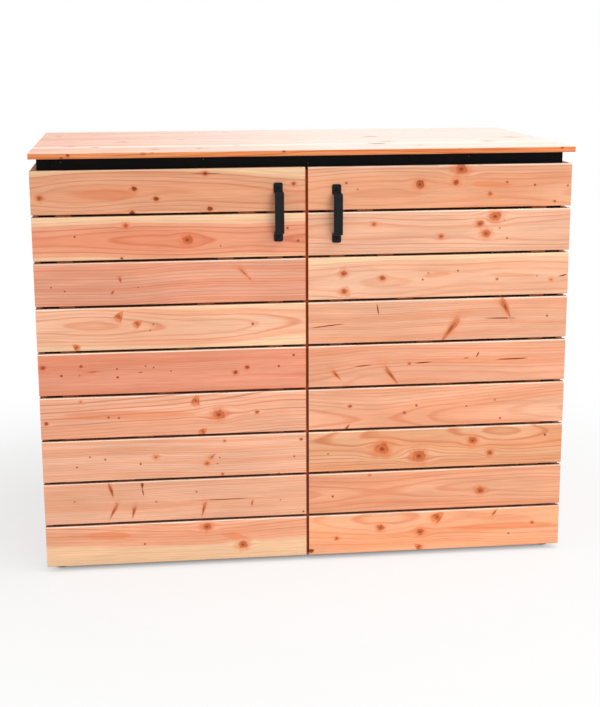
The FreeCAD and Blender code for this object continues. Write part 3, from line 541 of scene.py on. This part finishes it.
door_board(
    "left", 7, (239, 184, 153), (50, -150), 5.2, 0.014, 0.7, 1.0,
    [(105.2, 459.6, 2.8, 0.5), (90, 457.3, 2.2, 0.7), (77, 467.5, 2.2, 0.8), (140.7, 464, 2.8, 0.7),
     (156, 457, 6, 0.15), (207.1, 463.4, 6, 0.4), (219.8, 457.5, 1.7, 0.8), (217.5, 463.6, 1.7, 0.9),
     (224.6, 441, 3.4, 0.3), (222.5, 474, 3.6, 0.6), (278.6, 473.6, 3.2, 0.4), (301, 439.3, 4, 0.7),
     (294.3, 456.3, 2.4, 0.6)],
    [(208.5, 459.5, 216, 453.5, 4, 0.15)])
door_board(
    "left", 8, (237, 180, 148), (50, 140), 5.0, 0.01, 0.6, 1.0,
    [(74.6, 501.8, 1.8, 0.8), (156.2, 501.6, 2, 0.8), (196.5, 491.8, 2.2, 0.6),
     (116.2, 503.6, 2.2, 0.8), (280.5, 499.8, 1.6, 0.8), (303.4, 511.4, 2.6, 0.8)],
    [(108.6, 483.5, 113.5, 498, 3, 0.6), (142, 483, 142.4, 489, 2.2, 0.9),
     (142.3, 489, 144, 497, 1.6, 0.2), (117, 504.5, 110, 519, 2.8, 0.5), (135, 506, 132.5, 518, 2.8, 0.5),
     (205.2, 502, 202, 516.5, 2.8, 0.4), (252.4, 500.5, 251.8, 506, 1.8, 0.5),
     (191.6, 500.7, 252.3, 498, 0.9, 0.7)])
door_board(
    "left", 9, (243, 177, 141), (34, 76), 7.0, 0.014, 0.7, 0.088,
    [(206.8, 526.8, 11, 0.4), (242.9, 544.5, 12, 0.35), (145, 544, 3, 0.4)],
    [(85.4, 536.2, 130.2, 535.4, 8, -1), (222, 534, 252, 541, 8, -1)])

door_board(
    "right", 1, (232, 172, 136), (80, -20), 5.6, 0.012, 0.7, 1.0,
    [(461.3, 169.1, 15, 0.5), (420, 184.6, 11, 0.65), (456, 182.5, 7.5, 0.65), (507.1, 182.1, 3.6, 0.6),
     (535, 184.8, 2.8, 0.8), (567.9, 185.4, 2.4, 0.8), (490, 193.8, 5.5, 0.3), (554.6, 201.1, 3.4, 0.7),
     (346.4, 183, 3, 0.7), (357.5, 189.3, 2, 0.7)],
    [(469, 184, 512, 184.5, 5, -1)])
door_board(
    "right", 2, (232, 176, 144), (60, -2), 5.8, 0.01, 0.7, 1.0,
    [(495.2, 216.4, 14, 0.35), (480, 223.8, 9, 0.5), (486, 233.6, 11, 0.4), (440.9, 236.4, 6, 0.5),
     (373.8, 224.3, 5, 0.4), (504.1, 219.8, 2, 0.7), (499.8, 228, 2, 0.7), (507.1, 238, 2.4, 0.7)])
door_board(
    "right", 3, (238, 184, 152), (68, -6), 5.6, 0.01, 0.7, 0.088,
    [(343.6, 273.6, 7.5, 0.6), (344, 291.6, 8, 0.45), (382.3, 278.2, 7, 0.6), (458, 270.7, 2.4, 0.8),
     (428.2, 273, 1.8, 0.8), (422.7, 279.6, 2.6, 0.6), (497, 279, 3.4, 0.5), (550.9, 279.6, 4.4, 0.2),
     (537, 276, 1.6, 0.8)],
    [(558, 276.5, 568, 274, 1.5, 1.0), (421, 276.5, 452, 273.5, 4, -1), (488, 274.5, 536, 275.5, 4, -1),
     (343.6, 266, 341.5, 279, 7, -1), (342.5, 286, 348, 297, 8, -1)])
door_board(
    "right", 4, (233, 174, 141), (60, 190), 5.0, 0.012, 0.6, 1.0,
    [(547, 315.7, 2.8, 0.6)],
    [(501, 297.5, 509.5, 316.5, 6.0, 0.34), (459, 317.5, 442, 340.5, 6, 0.32),
     (376.8, 303.5, 378.9, 315.5, 1.5, 0.7), (310.7, 328, 347.3, 323.4, 1.3, 0.8),
     (484, 318.2, 518.8, 318, 1.3, 0.8)])
door_board(
    "right", 5, (235, 168, 134), (110, -60), 4.8, 0.01, 0.6, 1.0,
    [(409.3, 363.6, 4, 0.4)],
    [(353.6, 366.8, 374, 364.6, 1.0, 0.8), (414.3, 363.2, 432, 362, 1.5, 0.9),
     (493.8, 359.4, 528.6, 357.9, 1.5, 1.0), (332, 370.5, 340.5, 379.5, 3, 0.4),
     (384.5, 366.8, 397.5, 383.7, 3.6, 0.4), (476, 357.5, 479.5, 351, 1.4, 0.5),
     (463, 358.3, 469, 357.6, 1, 0.6)])
door_board(
    "right", 6, (238, 177, 143), (60, -20), 6.0, 0.016, 0.7, 1.0,
    [(350, 406.4, 4.6, 0.6), (416.4, 405.4, 3, 0.6), (404.3, 412.9, 4, 0.6), (466.3, 406, 2, 0.8),
     (494.8, 399.8, 2.4, 0.4), (500, 418, 3, 0.6)],
    [(345.5, 430, 349.5, 424, 2.2, 0.6)])
door_board(
    "right", 7, (230, 171, 132), (70, 40), 6.0, 0.016, 0.9, 1.0,
    [(382.1, 449, 18, 0.3), (418.8, 456, 17, 0.35), (472.5, 440.4, 11, 0.45), (489.8, 452.7, 8, 0.5),
     (544.8, 434.6, 3, 0.9), (328, 454, 2, 0.9)])
door_board(
    "right", 8, (233, 168, 132), (56, 2), 6.0, 0.01, 0.6, 1.0,
    [(480, 490.5, 10, 0.5), (332.7, 496.4, 3, 0.7), (369.6, 475.2, 4, 0.15)])
door_board(
    "right", 9, (249, 180, 138), (66, 36), 6.0, 0.016, 0.7, 1.0,
    [(380.4, 527.7, 9, 0.4), (420, 531.8, 10, 0.4), (336.6, 538.6, 5, 0.45), (311, 551, 6, 0.9),
     (532, 522.5, 5, 0.35), (508.4, 533.2, 2.8, 0.5)],
    [(492, 515.5, 497, 509, 2.4, 0.4), (446, 528.5, 554, 523.7, 7, -1)],
    [(437.5, 517.1, 19, 40), (418.8, 546.6, 12, 150)])


# Side and rear boards
# Nine boards on each wall, of the same softwood as the doors, screwed on from inside through the steel.
# Every board comes from another part of a log and has knots of its own, so rows share one pattern.
row_group, given = new_group(
    "board row", {"Place": ZERO, "Across": 0.0, "Start": 0.0, "Pitch": 1.0, "Seed": 0.0},
    {"Place": "Vector", "Trunk": "Vector", "Seed": "Float", "Shade": "Float"})
number = maths("FLOOR", (given["Across"] - given["Start"]) / given["Pitch"])
own_seed = maths("MULTIPLY_ADD", number, 1.7, given["Seed"])
chance = add_node("TexWhiteNoise", {"W": own_seed}, "Color", noise_dimensions="1D")
first, second, third = parts(chance)
middle = maths("MULTIPLY_ADD", number + 0.5, given["Pitch"], given["Start"])
depth = maths("MULTIPLY_ADD", first, 0.075, 0.035)
height = maths("MULTIPLY_ADD", second, 0.18, -0.09)
give(
    row_group, Place=given["Place"] - vector_of(0, 0, middle), Trunk=vector_of(0, depth, height),
    Seed=own_seed, Shade=third)

scatter_group, given = new_group(
    "scattered knots", {"Place": ZERO, "Seed": 0.0, "Step": 0.3}, KNOT_OUTPUTS)
cell = maths("FLOOR", parts(given["Place"])[0] / given["Step"])
chance = add_node(
    "TexWhiteNoise", {"Vector": vector_of(cell, given["Seed"], 0)}, "Color", noise_dimensions="2D")
first, second, third = parts(chance)
spot_x = (cell + maths("MULTIPLY_ADD", first, 0.6, 0.2)) * given["Step"]
spot_z = maths("MULTIPLY_ADD", second, 0.09, -0.045)
size = maths("MULTIPLY_ADD", maths("POWER", third, 4.0), 0.009, 0.0012)
give(scatter_group, **place_group(knot_group, {
    "Place": given["Place"], "Middle": vector_of(spot_x, 0, spot_z),
    "Size": vector_of(size * 1.15, 1, size), "Pull": fade(third, 0.5, 0.8)}))


def lay_along(vector, axes, tilt):
    """Vector in the board's own axes: along the grain, through the board and across it."""
    split = parts(turn(vector, tilt) if tilt else vector)
    return vector_of(*(split[axis] for axis in axes))


LONE_PITCH = 10.0


def dress_row(name, axes, count, width, tones, ring, seed, step=0.3, knots=(), tilt=0.0, edge=None,
              pale=None, **figures):
    """Dress a row of like boards or battens: its shader and its colour.

    axes: which of x, y and z runs along the grain, through the board and across it.
    count, width: boards in the row, and width of one in metres. A lone board has a very wide pitch.
    tones: two colours on screen; each board has its own mix of them.
    step: length of the board that each scattered knot has to itself, in metres.
    knots: place along and across in metres, radius in millimetres, darkness.
    tilt: lean of a brace. edge: colour of the long edges. pale: streak of sapwood across the row.
    """
    low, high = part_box(name)
    middle = middle_of(name)
    lone = count == 1
    across = axes[2]
    pitch = LONE_PITCH if lone else (high[across] - low[across] - width) / (count - 1)
    start = -pitch / 2 if lone else low[across] + (width - pitch) / 2
    origin = tuple(middle[axis] if lone or axis == axes[1] else 0 for axis in range(3))
    material, tree, shader = new_material(name)
    place = lay_along(coordinates(tree) - origin, axes, tilt)
    normal = lay_along(coordinates(tree, "Normal"), axes, tilt)
    sideways = parts(place)[2]
    bent, masks = add_knots(place, [
        ((on, 0, over), (radius * 0.0013, 1, radius * 0.001), 0.0, 0.0, 1.0, dark)
        for on, over, radius, dark in knots])
    row = place_group(row_group, {
        "Place": bent, "Across": sideways, "Start": start, "Pitch": pitch, "Seed": seed})
    more = place_group(scatter_group, {"Place": row["Place"], "Seed": row["Seed"], "Step": step})
    for mask in ("Heart", "Rim", "Glow", "Ring"):
        masks[mask] = highest(masks[mask], more[mask])
    tone = mix_colour(row["Shade"], on_screen(*tones[0]), on_screen(*tones[1]))
    if pale:
        streak = fade(sideways, pale[0] - 0.012, pale[0] + 0.012)
        streak = streak * fade(sideways, pale[1] + 0.006, pale[1] - 0.006)
        tone = mix_colour(streak * 0.95, tone, on_screen(255, 240, 214))
    if edge:
        on_edge = fade(parts(maths("ABSOLUTE", normal))[2], 0.45, 0.9)
        tone = mix_colour(on_edge, tone, on_screen(*edge))
    colour = dress_wood(shader, row["Place"] + more["Shift"], place, normal, {
        "Trunk": row["Trunk"], "Seed": row["Seed"], "Ring Width": ring / 1000, "Tone": tone,
        **masks, **figures})
    wear(material, name)
    return shader, colour


WALL_TONES = ((232, 158, 124), (243, 180, 145))
WALL_BOARD = 0.119
dress_row("left_side_boards", (1, 0, 2), 9, WALL_BOARD, WALL_TONES, 4.4, 20.0)
dress_row("right_side_boards", (1, 0, 2), 9, WALL_BOARD, WALL_TONES, 4.4, 40.3)
dress_row("rear_boards", (0, 1, 2), 9, WALL_BOARD, WALL_TONES, 4.8, 60.6)


# Lid boards
# Seven boards from side to side, oiled on top. Seen almost along the face they shine with the white
# round them, and a painted reflection makes the top whiter towards the right. The sawn front edge is
# deeper orange, with painted shade towards its foot. Knots are where the photograph shows them.
LID_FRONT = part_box("lid_boards")[0][1]
LID_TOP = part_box("lid_boards")[1][2]
LID_COUNT = 7
lid_knots = []
for across, down, radius, dark in [
        (122, 142, 10, 0.7), (95, 147.5, 9, 0.5), (70, 147, 6, 0.6), (154, 149.1, 12, 0.5),
        (199, 148.3, 9, 0.6), (377, 143.6, 18, 0.9), (387, 141.3, 10, 0.7), (371, 136.5, 12, 0.4),
        (420, 145, 6, 0.5), (487, 141, 11, 0.6), (511, 137, 13, 0.5)]:
    spot = sight_on_face(across, down, LID_TOP, 2)
    lid_knots.append((spot.x, spot.y, radius, dark))
shader, toned = dress_row(
    "lid_boards", (0, 2, 1), LID_COUNT, 0.12, ((240, 176, 148), (251, 206, 180)), 6.0, 81.9, step=0.5,
    knots=lid_knots, edge=(228, 146, 92), pale=(-0.25, -0.19), Contrast=1.0, Blush=1.0)
tree = toned.tree
place = coordinates(tree)
sideways, inward, upward = parts(place)
edge_spots = 0.0
for across, down, radius, dark in [
        (67.6, 155.6, 4.5, 0.8), (61, 158.3, 4, 0.7), (284, 151, 4.5, 0.8), (143, 153.5, 7, 0.4),
        (152, 152, 5, 0.45), (461, 147, 6, 0.35), (562.5, 147.5, 4, 0.8)]:
    spot = sight_on_face(across, down, LID_FRONT)
    away = maths("LENGTH", (place - (spot.x, LID_FRONT, spot.z)) * (0.7, 1, 1))
    edge_spots = highest(edge_spots, fade(away, radius * 0.0012, radius * 0.0004, 0.0, dark))
toned = mix_colour(edge_spots, toned, on_screen(110, 36, 10))
# Painted reflection: the top, behind the front edge, is made whiter towards the right, where the white
# round it shines on it; the knots keep their colour.
behind_edge = fade(inward, LID_FRONT, LID_FRONT + 0.02)
painted_reflection = fade(sideways, -0.65, 0.25, 0.0, 0.5) * behind_edge
for knot_x, knot_y, radius, _ in lid_knots:
    away = maths("LENGTH", (place - (knot_x, knot_y, 0)) * (0.6, 1, 0))
    painted_reflection = painted_reflection * fade(away, radius * 0.001, radius * 0.002)
toned = mix_colour(painted_reflection, toned, on_screen(250, 234, 220))
# The front edge is redder in patches, its own colour, and darker towards its foot: painted shade under the
# rounded lower edge.
redder = fade(noise(place * (7, 60, 130)), 0.45, 0.7, 0.0, 0.4)
lower_edge_shade = fade(upward, LID_TOP - 0.008, LID_TOP - 0.014, 0.0, 0.35)
toned = mix_colour(
    highest(redder, lower_edge_shade) * (1.0 - behind_edge), toned, on_screen(190, 84, 32))
on_top = fade(parts(coordinates(tree, "Normal"))[2], 0.6, 0.95)
sheen = fade(sideways, -0.9, 0.3, 0.4, 1.0) * on_top
feed(tree, shader, {"Base Color": toned, "Coat Weight": sheen, "Coat Roughness": 0.25})


# Battens, braces, divider and runner
# Plain softwood inside the store, painted a little darker and redder than the boards as painted shade,
# since it is seen in shadow through the gaps: two battens and a brace on each door, one batten on each
# side wall, four under the lid, and the two boards that part the bins. The divider's edge, seen in the
# gap between the doors, is darker still: painted shade.
# Tones a little darker and redder than the boards: painted shade, as these pieces are seen in shadow
# through the gaps.
SHADED_INNER_WOOD = (((210, 130, 88), (224, 148, 104)), 3.2)
BATTEN = 0.042
WALL_BATTEN = 0.018
BRACE_FROM = 0.108
BRACE_RUN = 0.524
BRACE_RISE = 1.127
for side, way, seed in (("left", -1, 101.0), ("right", 1, 111.3)):
    dress_row(f"{side}_door_battens", (2, 1, 0), 2, BATTEN, *SHADED_INNER_WOOD, seed, step=0.4)
    dress_row(
        f"{side}_door_brace", (2, 1, 0), 1, BATTEN, *SHADED_INNER_WOOD, seed + 5, step=0.4,
        tilt=way * math.atan(BRACE_RUN / BRACE_RISE))
dress_row("wall_battens", (2, 1, 0), 2, WALL_BATTEN, *SHADED_INNER_WOOD, 121.6, step=0.4)
dress_row("lid_battens", (1, 2, 0), 4, BATTEN, *SHADED_INNER_WOOD, 131.2, step=0.35)
# The divider's long edges are painted shade: dark red-brown, as they are seen in shadow in the gap between
# the doors.
dress_row("centre_divider", (2, 0, 1), 1, 0.12, *SHADED_INNER_WOOD, 141.7, edge=(204, 92, 42))
dress_row("floor_runner", (1, 0, 2), 1, 0.1, *SHADED_INNER_WOOD, 151.4)


# Steel frame
# Square tube, welded and powder coated satin black. The coat has the fine orange skin that powder
# leaves, and is a little duller where dust lies.
def skin_group(name, tone):
    """Group for steel and plastic, with its place and its tone."""
    group, given = new_group(
        name, {"Place": ZERO, "Tone": tone}, {"Color": "Color", "Roughness": "Float", "Height": "Float"})
    return group, given["Place"], given["Tone"]


def surface(name, group, specular, depth, metallic=0.0, **figures):
    """Material whose colour, roughness and relief come from one group."""
    material, tree, shader = new_material(name)
    made = place_group(group, {"Place": coordinates(tree), **figures})
    cover(shader, made, made["Height"], 0.4, depth, specular, metallic)
    return material


coat_group, place, tone = skin_group("powder coat", (0.01, 0.01, 0.01, 1))
skin = noise(scale(place, 620), 1.0)
grit = noise(scale(place, 3100), 1.0)
dust = fade(noise(scale(place, 14), 4.0), 0.5, 0.8)
coat = shade(tone, maths("MULTIPLY_ADD", grit, 0.3, 0.85))
give(
    coat_group, Color=mix_colour(dust * 0.02, coat, (0.3, 0.27, 0.24, 1)),
    Roughness=maths("MULTIPLY_ADD", dust, 0.12, fade(skin, 0.3, 0.7, 0.4, 0.5)),
    Height=maths("MULTIPLY_ADD", grit, 0.25, skin))
frame_coat = surface("frame coat", coat_group, 0.09, 0.0002, Tone=(0.0035, 0.0034, 0.0036, 1))
wear(frame_coat, "_post", "_rail")


# Weld seams
# Rails butt against posts. Where both lie flush the weld is ground off level, and in the inner
# corner it stays as a rippled bead. It lies under the same black coat.
BEAD_RADIUS = 0.0028
BEAD_STEP = 0.0026
BEAD_END = 0.003
TUBE = 0.040
GROOVE = 0.0034
GROOVE_END = 0.0005
PROUD = 0.00004
LAP = 0.0002
seams = bmesh.new()


def bead(start, end):
    """Overlapping drops of weld along an inner corner."""
    start = Vector(start)
    run = Vector(end) - start
    drops = int(run.length / BEAD_STEP)
    line = bmesh.new()
    for drop in range(drops + 1):
        place = Matrix.Translation(start + run * drop / drops)
        bmesh.ops.create_uvsphere(line, u_segments=8, v_segments=5, radius=BEAD_RADIUS, matrix=place)
    mesh = finished("bead", line)
    seams.from_mesh(mesh)
    bpy.data.meshes.remove(mesh)


def ground_flat(xs, ys, zs):
    """Level fill of the groove between a rail's end and the rounded edge of a post."""
    low, high = (Vector(corner) for corner in zip(sorted(xs), sorted(ys), zs))
    place = Matrix.Translation((high + low) / 2) @ Matrix.Diagonal((*(high - low), 1))
    bmesh.ops.create_cube(seams, size=1, matrix=place)


inner_x, outer_x = (corner[0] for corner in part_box("front_right_post"))
rail_low, rail_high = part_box("front_top_rail")
front, inside_front = rail_low[1], rail_high[1]
inside_rear, rear = (corner[1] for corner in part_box("rear_top_rail"))
sill_low, sill_high = (corner[2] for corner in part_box("rear_bottom_rail"))
top_seam = (rail_low[2] + GROOVE_END, rail_high[2] - GROOVE_END)
sill_seam = (sill_low + GROOVE_END, sill_high - GROOVE_END)
for way in (-1, 1):
    for face_low, face_high, heights, bead_z in (
            (front, inside_front, top_seam, rail_low[2]), (inside_rear, rear, top_seam, rail_low[2]),
            (inside_rear, rear, sill_seam, sill_high)):
        bead((way * inner_x, face_low + BEAD_END, bead_z), (way * inner_x, face_high - BEAD_END, bead_z))
        end = (way * (inner_x - LAP), way * (inner_x + GROOVE))
        ground_flat(end, (face_low - PROUD, face_low + GROOVE), heights)
        ground_flat(end, (face_high - GROOVE, face_high + PROUD), heights)
    for heights, bead_z in ((top_seam, rail_low[2]), (sill_seam, sill_high)):
        for joint_y, toward in ((inside_front, -1), (inside_rear, 1)):
            near, far = sorted((way * (inner_x + BEAD_END), way * (outer_x - BEAD_END)))
            bead((near, joint_y, bead_z), (far, joint_y, bead_z))
            end = (joint_y - toward * LAP, joint_y + toward * GROOVE)
            for side_x, inward in ((inner_x, 1), (outer_x, -1)):
                skin = (way * (side_x - inward * PROUD), way * (side_x + inward * GROOVE))
                ground_flat(skin, end, heights)
    for bead_z in (rail_low[2], sill_high):
        middle_post = way * TUBE / 2
        bead((middle_post, inside_rear + BEAD_END, bead_z), (middle_post, rear - BEAD_END, bead_z))
for face in seams.faces:
    face.smooth = True
welds = link_mesh("weld_seams", seams, frame_coat)
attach(welds, "store")


# Handles
# Bows of flat steel strap, bent warm and powder coated, with a pan head screw in each foot. The
# screws have a star recess, darkened with painted shade.
STAR_SHARE = 0.74
STAR_RADIUS = 0.0021


def star(shape, radius, matrix):
    """Flat star of six points, as in the recess of a screw: its face."""
    made = bmesh.ops.create_circle(shape, cap_ends=True, segments=12, radius=radius, matrix=matrix)
    middle = matrix.translation
    for vertex in made["verts"][1::2]:
        vertex.co = middle + (vertex.co - middle) * STAR_SHARE
    return made["verts"][0].link_faces[0]


handle_coat = surface("handle coat", coat_group, 0.16, 0.00015, Tone=(0.0085, 0.0095, 0.011, 1))
# Painted shade: the handle screws' star recesses are a flat face of near-black coat.
recess_shade = surface("recess", coat_group, 0.05, 0.0001, Tone=(0.002, 0.002, 0.002, 1))
wear(handle_coat, "_handle", "_handle_screws")
for side in ("left", "right"):
    low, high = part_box(f"{side}_handle_screws")
    half = (high[0] - low[0]) / 2
    shape = bmesh.new()
    for height in (low[2] + half, high[2] - half):
        place = Matrix.Translation(((low[0] + high[0]) / 2, low[1] - PROUD, height))
        face = star(shape, STAR_RADIUS, place @ Matrix.Rotation(math.radians(90), 4, "X"))
        bmesh.ops.inset_individual(shape, faces=[face], thickness=0.0003, depth=0.00002)
    recesses = link_mesh(f"{side}_screw_recesses", shape, recess_shade)
    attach(recesses, f"{side}_door")


# Hinges, brackets and strike plates
# Zinc plated steel: cloudy crystals in a bright grey skin, brushed a little by handling.
zinc_group, place, tone = skin_group("zinc plate", (0.5, 0.5, 0.48, 1))
cloud = noise(scale(place, 85), 3.0)
brush = noise(place * (2400, 2400, 160), 1.0)
give(
    zinc_group, Color=shade(tone, fade(cloud, 0.3, 0.7, 0.86, 1.12)),
    Roughness=fade(cloud, 0.35, 0.65, 0.3, 0.42) + brush * 0.1, Height=brush)
zinc = surface("zinc", zinc_group, 0.5, 0.00005, 1.0)
wear(zinc, "_leaves", "_pins", "_brackets", "_plates")


# Caps, foot inserts, feet and catches
# Moulded black plastic with a fine leathery grain.
mould_group, place, tone = skin_group("moulded plastic", (0.012, 0.012, 0.013, 1))
haze = noise(scale(place, 60), 3.0)
give(
    mould_group, Color=shade(tone, fade(haze, 0.3, 0.7, 0.8, 1.3)),
    Roughness=fade(haze, 0.3, 0.7, 0.44, 0.56),
    Height=add_node("TexVoronoi", {"Vector": place, "Scale": 1500}, "Distance"))
plastic = surface("black plastic", mould_group, 0.3, 0.0001)
wear(plastic, "_caps", "_inserts", "_feet", "_catches")


# Screws
# Zinc plated screws with a star recess. The boards are held from inside, through the steel and the
# battens, so that none shows on the store's outer faces. Hinges and small parts have thinner ones.
def screw_mesh(radius, rise):
    """One screw head that faces up, with its recess."""
    shape = bmesh.new()
    bmesh.ops.create_cone(
        shape, cap_ends=True, segments=12, radius1=radius, radius2=radius * 0.72, depth=rise,
        matrix=Matrix.Translation((0, 0, rise / 2)))
    top = max(shape.faces, key=lambda face: face.calc_center_median().z)
    bmesh.ops.inset_individual(shape, faces=[top], thickness=radius * 0.2)
    for vertex in list(top.verts)[1::2]:
        vertex.co.xy *= STAR_SHARE
    bmesh.ops.inset_individual(shape, faces=[top], thickness=radius * 0.05, depth=-rise * 0.8)
    return finished("screw", shape)


screw_zinc = surface("screw zinc", zinc_group, 0.5, 0.00003, 1.0, Tone=(0.58, 0.54, 0.42, 1))
rivet_grey = surface("rivet grey", zinc_group, 0.5, 0.00003, 1.0, Tone=(0.16, 0.15, 0.14, 1))
wood_screw = screw_mesh(0.0042, 0.0006)
small_screw = screw_mesh(0.0032, 0.0003)
flush_screw = screw_mesh(0.0032, 0.00012)
rivet = screw_mesh(0.0013, 0.0002)


def set_copies(name, body, pattern, spots, material=screw_zinc):
    """One object of many copies of a mesh, each at its place and facing its way."""
    shape = bmesh.new()
    for spot, facing in spots:
        turned = Vector(facing).to_track_quat("Z", "Y").to_matrix().to_4x4()
        copy = pattern.copy()
        copy.transform(Matrix.Translation(spot) @ turned)
        shape.from_mesh(copy)
        bpy.data.meshes.remove(copy)
    piece = link_mesh(name, shape, material)
    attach(piece, body)


PAIR = (-0.035, 0.035)
LID_PAIR = (-0.03, 0.03)
TRIPLE = (-0.028, 0.0, 0.028)
STRIKE_PAIR = (-0.011, 0.011)
CATCH_PAIR = (-0.016, 0.016)
FROM_END = 0.012
LID_SHIFT = 0.05
FORWARD, BACKWARD, DOWNWARD = (0, -1, 0), (0, 1, 0), (0, 0, -1)
LEAF_THICK = 0.0016
board_heights = [middle_of(f"left_door_board_{number}")[2] for number in range(1, 10)]
screw_heights = [height + over for height in board_heights for over in PAIR]
hinge_heights = [height + over for height in board_heights[1::3] for over in TRIPLE]
end_heights = (board_heights[0], board_heights[8])
front_y = middle_of("front_top_rail")[1]
rear_y = middle_of("rear_top_rail")[1]
sill_z = middle_of("rear_bottom_rail")[2]
post_x = (inner_x + outer_x) / 2
for side, way in (("left", -1), ("right", 1)):
    low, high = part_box(f"{side}_door_battens")
    brace_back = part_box(f"{side}_door_brace")[1][1]
    spots = []
    for height in screw_heights:
        for batten_x in (low[0] + BATTEN / 2, high[0] - BATTEN / 2):
            spots.append(((batten_x, high[1], height), BACKWARD))
    for height in board_heights[1:8]:
        from_middle = (height - board_heights[4]) * BRACE_RUN / BRACE_RISE
        brace_x = way * (BRACE_FROM + BRACE_RUN / 2 - from_middle)
        spots.append(((brace_x, brace_back, height), BACKWARD))
    set_copies(f"{side}_door_screws", f"{side}_door", wood_screw, spots)

    leaf_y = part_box(f"{side}_hinge_door_leaves")[0][1] + LEAF_THICK
    spots = [((way * post_x, leaf_y, height), BACKWARD) for height in hinge_heights]
    plate_x, plate_back = middle_of(f"{side}_strike_plates")[0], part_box(f"{side}_strike_plates")[1][1]
    for height in end_heights:
        for over in STRIKE_PAIR:
            spots.append(((plate_x, plate_back, height + over), BACKWARD))
    set_copies(f"{side}_door_small_screws", f"{side}_door", flush_screw, spots)
    leaf_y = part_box(f"{side}_hinge_frame_leaves")[1][1] - LEAF_THICK
    spots = [((way * post_x, leaf_y, height), FORWARD) for height in hinge_heights]
    set_copies(f"{side}_frame_hinge_screws", "store", small_screw, spots)

REAR_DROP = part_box("left_door_board_1")[1][2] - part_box("rear_boards")[1][2]
batten_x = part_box("wall_battens")[1][0] - WALL_BATTEN
batten_y = middle_of("wall_battens")[1]
spots = []
for height in screw_heights:
    for way in (-1, 1):
        for post_y in (front_y, rear_y):
            spots.append(((way * inner_x, post_y, height), (-way, 0, 0)))
        spots.append(((way * post_x, inside_rear, height - REAR_DROP), FORWARD))
        if height > sill_high + 0.01:
            spots.append(((way * batten_x, batten_y, height), (-way, 0, 0)))
    if height > sill_high + 0.02:
        spots.append(((0, inside_rear, height - REAR_DROP), FORWARD))
set_copies("wall_screws", "store", wood_screw, spots)

low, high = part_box("lid_boards")
under_low, under_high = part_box("lid_battens")
spots = []
for index in range(LID_COUNT):
    board_y = low[1] + (high[1] - low[1]) * (index + 0.5) / LID_COUNT
    for over in LID_PAIR:
        screw_y = min(max(board_y + over, under_low[1] + FROM_END), under_high[1] - FROM_END)
        if abs(screw_y - board_y) > LID_SHIFT:
            continue
        for column in range(4):
            screw_x = under_low[0] + BATTEN / 2 + (under_high[0] - under_low[0] - BATTEN) * column / 3
            spots.append(((screw_x, screw_y, under_low[2]), DOWNWARD))
set_copies("lid_screws", "lid", wood_screw, spots)

leaf_low, leaf_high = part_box("lid_hinge_lid_leaves")
rail_leaf_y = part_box("lid_hinge_frame_leaves")[0][1] + LEAF_THICK
LEAF_ROW = 0.0095
RAIL_LEAF_ROW = 1.1515
LID_HINGES = (-0.5, 0.0, 0.5)
columns = [hinge_x + over for hinge_x in LID_HINGES for over in TRIPLE]
set_copies("lid_leaf_screws", "lid", flush_screw, [
    ((x, leaf_low[1] + LEAF_ROW, leaf_high[2] - LEAF_THICK), DOWNWARD) for x in columns])
set_copies("rail_leaf_screws", "store", small_screw, [
    ((x, rail_leaf_y, RAIL_LEAF_ROW), BACKWARD) for x in columns])

PLATE_X = 0.012
FOOT_X = 0.034
ANGLE_THICK = 0.003
LEG = 0.028
RUNNER_PLATE_YS = (-0.285, -0.241)
RUNNER_PLATE_Z = 0.065
CATCH_Y = -0.374
catch_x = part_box("magnetic_catches")[1][0]
spots = []
for way in (-1, 1):
    aside = (way, 0, 0)
    spots += [
        ((way * FOOT_X, front_y, rail_low[2] - ANGLE_THICK), DOWNWARD),
        ((way * PLATE_X, front_y, rail_low[2] - LEG), aside),
        ((way * FOOT_X, inside_rear - ANGLE_THICK, sill_z), FORWARD),
        ((way * PLATE_X, inside_rear - LEG, sill_z), aside)]
    for plate_y in RUNNER_PLATE_YS:
        spots.append(((way * PLATE_X, plate_y, RUNNER_PLATE_Z), aside))
    for height in end_heights:
        for over in CATCH_PAIR:
            spots.append(((way * catch_x, CATCH_Y, height + over), aside))
set_copies("fitting_screws", "store", small_screw, spots)
spots = []
for across, down in ((60.4, 162.3), (203.3, 159.2), (308, 163.2), (468.7, 156.4)):
    spots.append((sight_on_face(across, down, front), FORWARD))
set_copies("rail_rivets", "store", rivet, spots, rivet_grey)
for pattern in (wood_screw, small_screw, flush_screw, rivet):
    bpy.data.meshes.remove(pattern)


# Foot nuts and magnet poles
# A zinc plated nut locks each levelling foot under its insert. Two steel poles lie in the front of
# each magnetic catch, where the strike plate meets them.
def link_eased(name, shape, ease):
    """Piece of zinc plated steel on the store, with its edges eased."""
    bmesh.ops.bevel(
        shape, geom=shape.edges[:], offset=ease, segments=2, profile=0.5, affect="EDGES", material=-1)
    piece = link_mesh(name, shape, zinc)
    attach(piece, "store")


NUT_RADIUS = 0.0092
NUT_THICK = 0.0034
NUT_Z = 0.0102
shape = bmesh.new()
for way in (-1, 1):
    for foot_y in (front_y, rear_y):
        bmesh.ops.create_cone(
            shape, cap_ends=True, segments=6, radius1=NUT_RADIUS, radius2=NUT_RADIUS,
            depth=NUT_THICK, matrix=Matrix.Translation((way * post_x, foot_y, NUT_Z)))
link_eased("foot_nuts", shape, 0.0004)

POLE = (0.003, 0.002, 0.032, 1)
POLE_PAIR = (-0.005, 0.005)
CATCH_X = 0.019
POLE_IN = 0.0009
pole_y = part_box("magnetic_catches")[0][1] + POLE_IN
shape = bmesh.new()
for way in (-1, 1):
    for height in end_heights:
        for over in POLE_PAIR:
            place = Matrix.Translation((way * CATCH_X + over, pole_y, height))
            bmesh.ops.create_cube(shape, size=1, matrix=place @ Matrix.Diagonal(POLE))
link_eased("magnet_poles", shape, 0.0003)
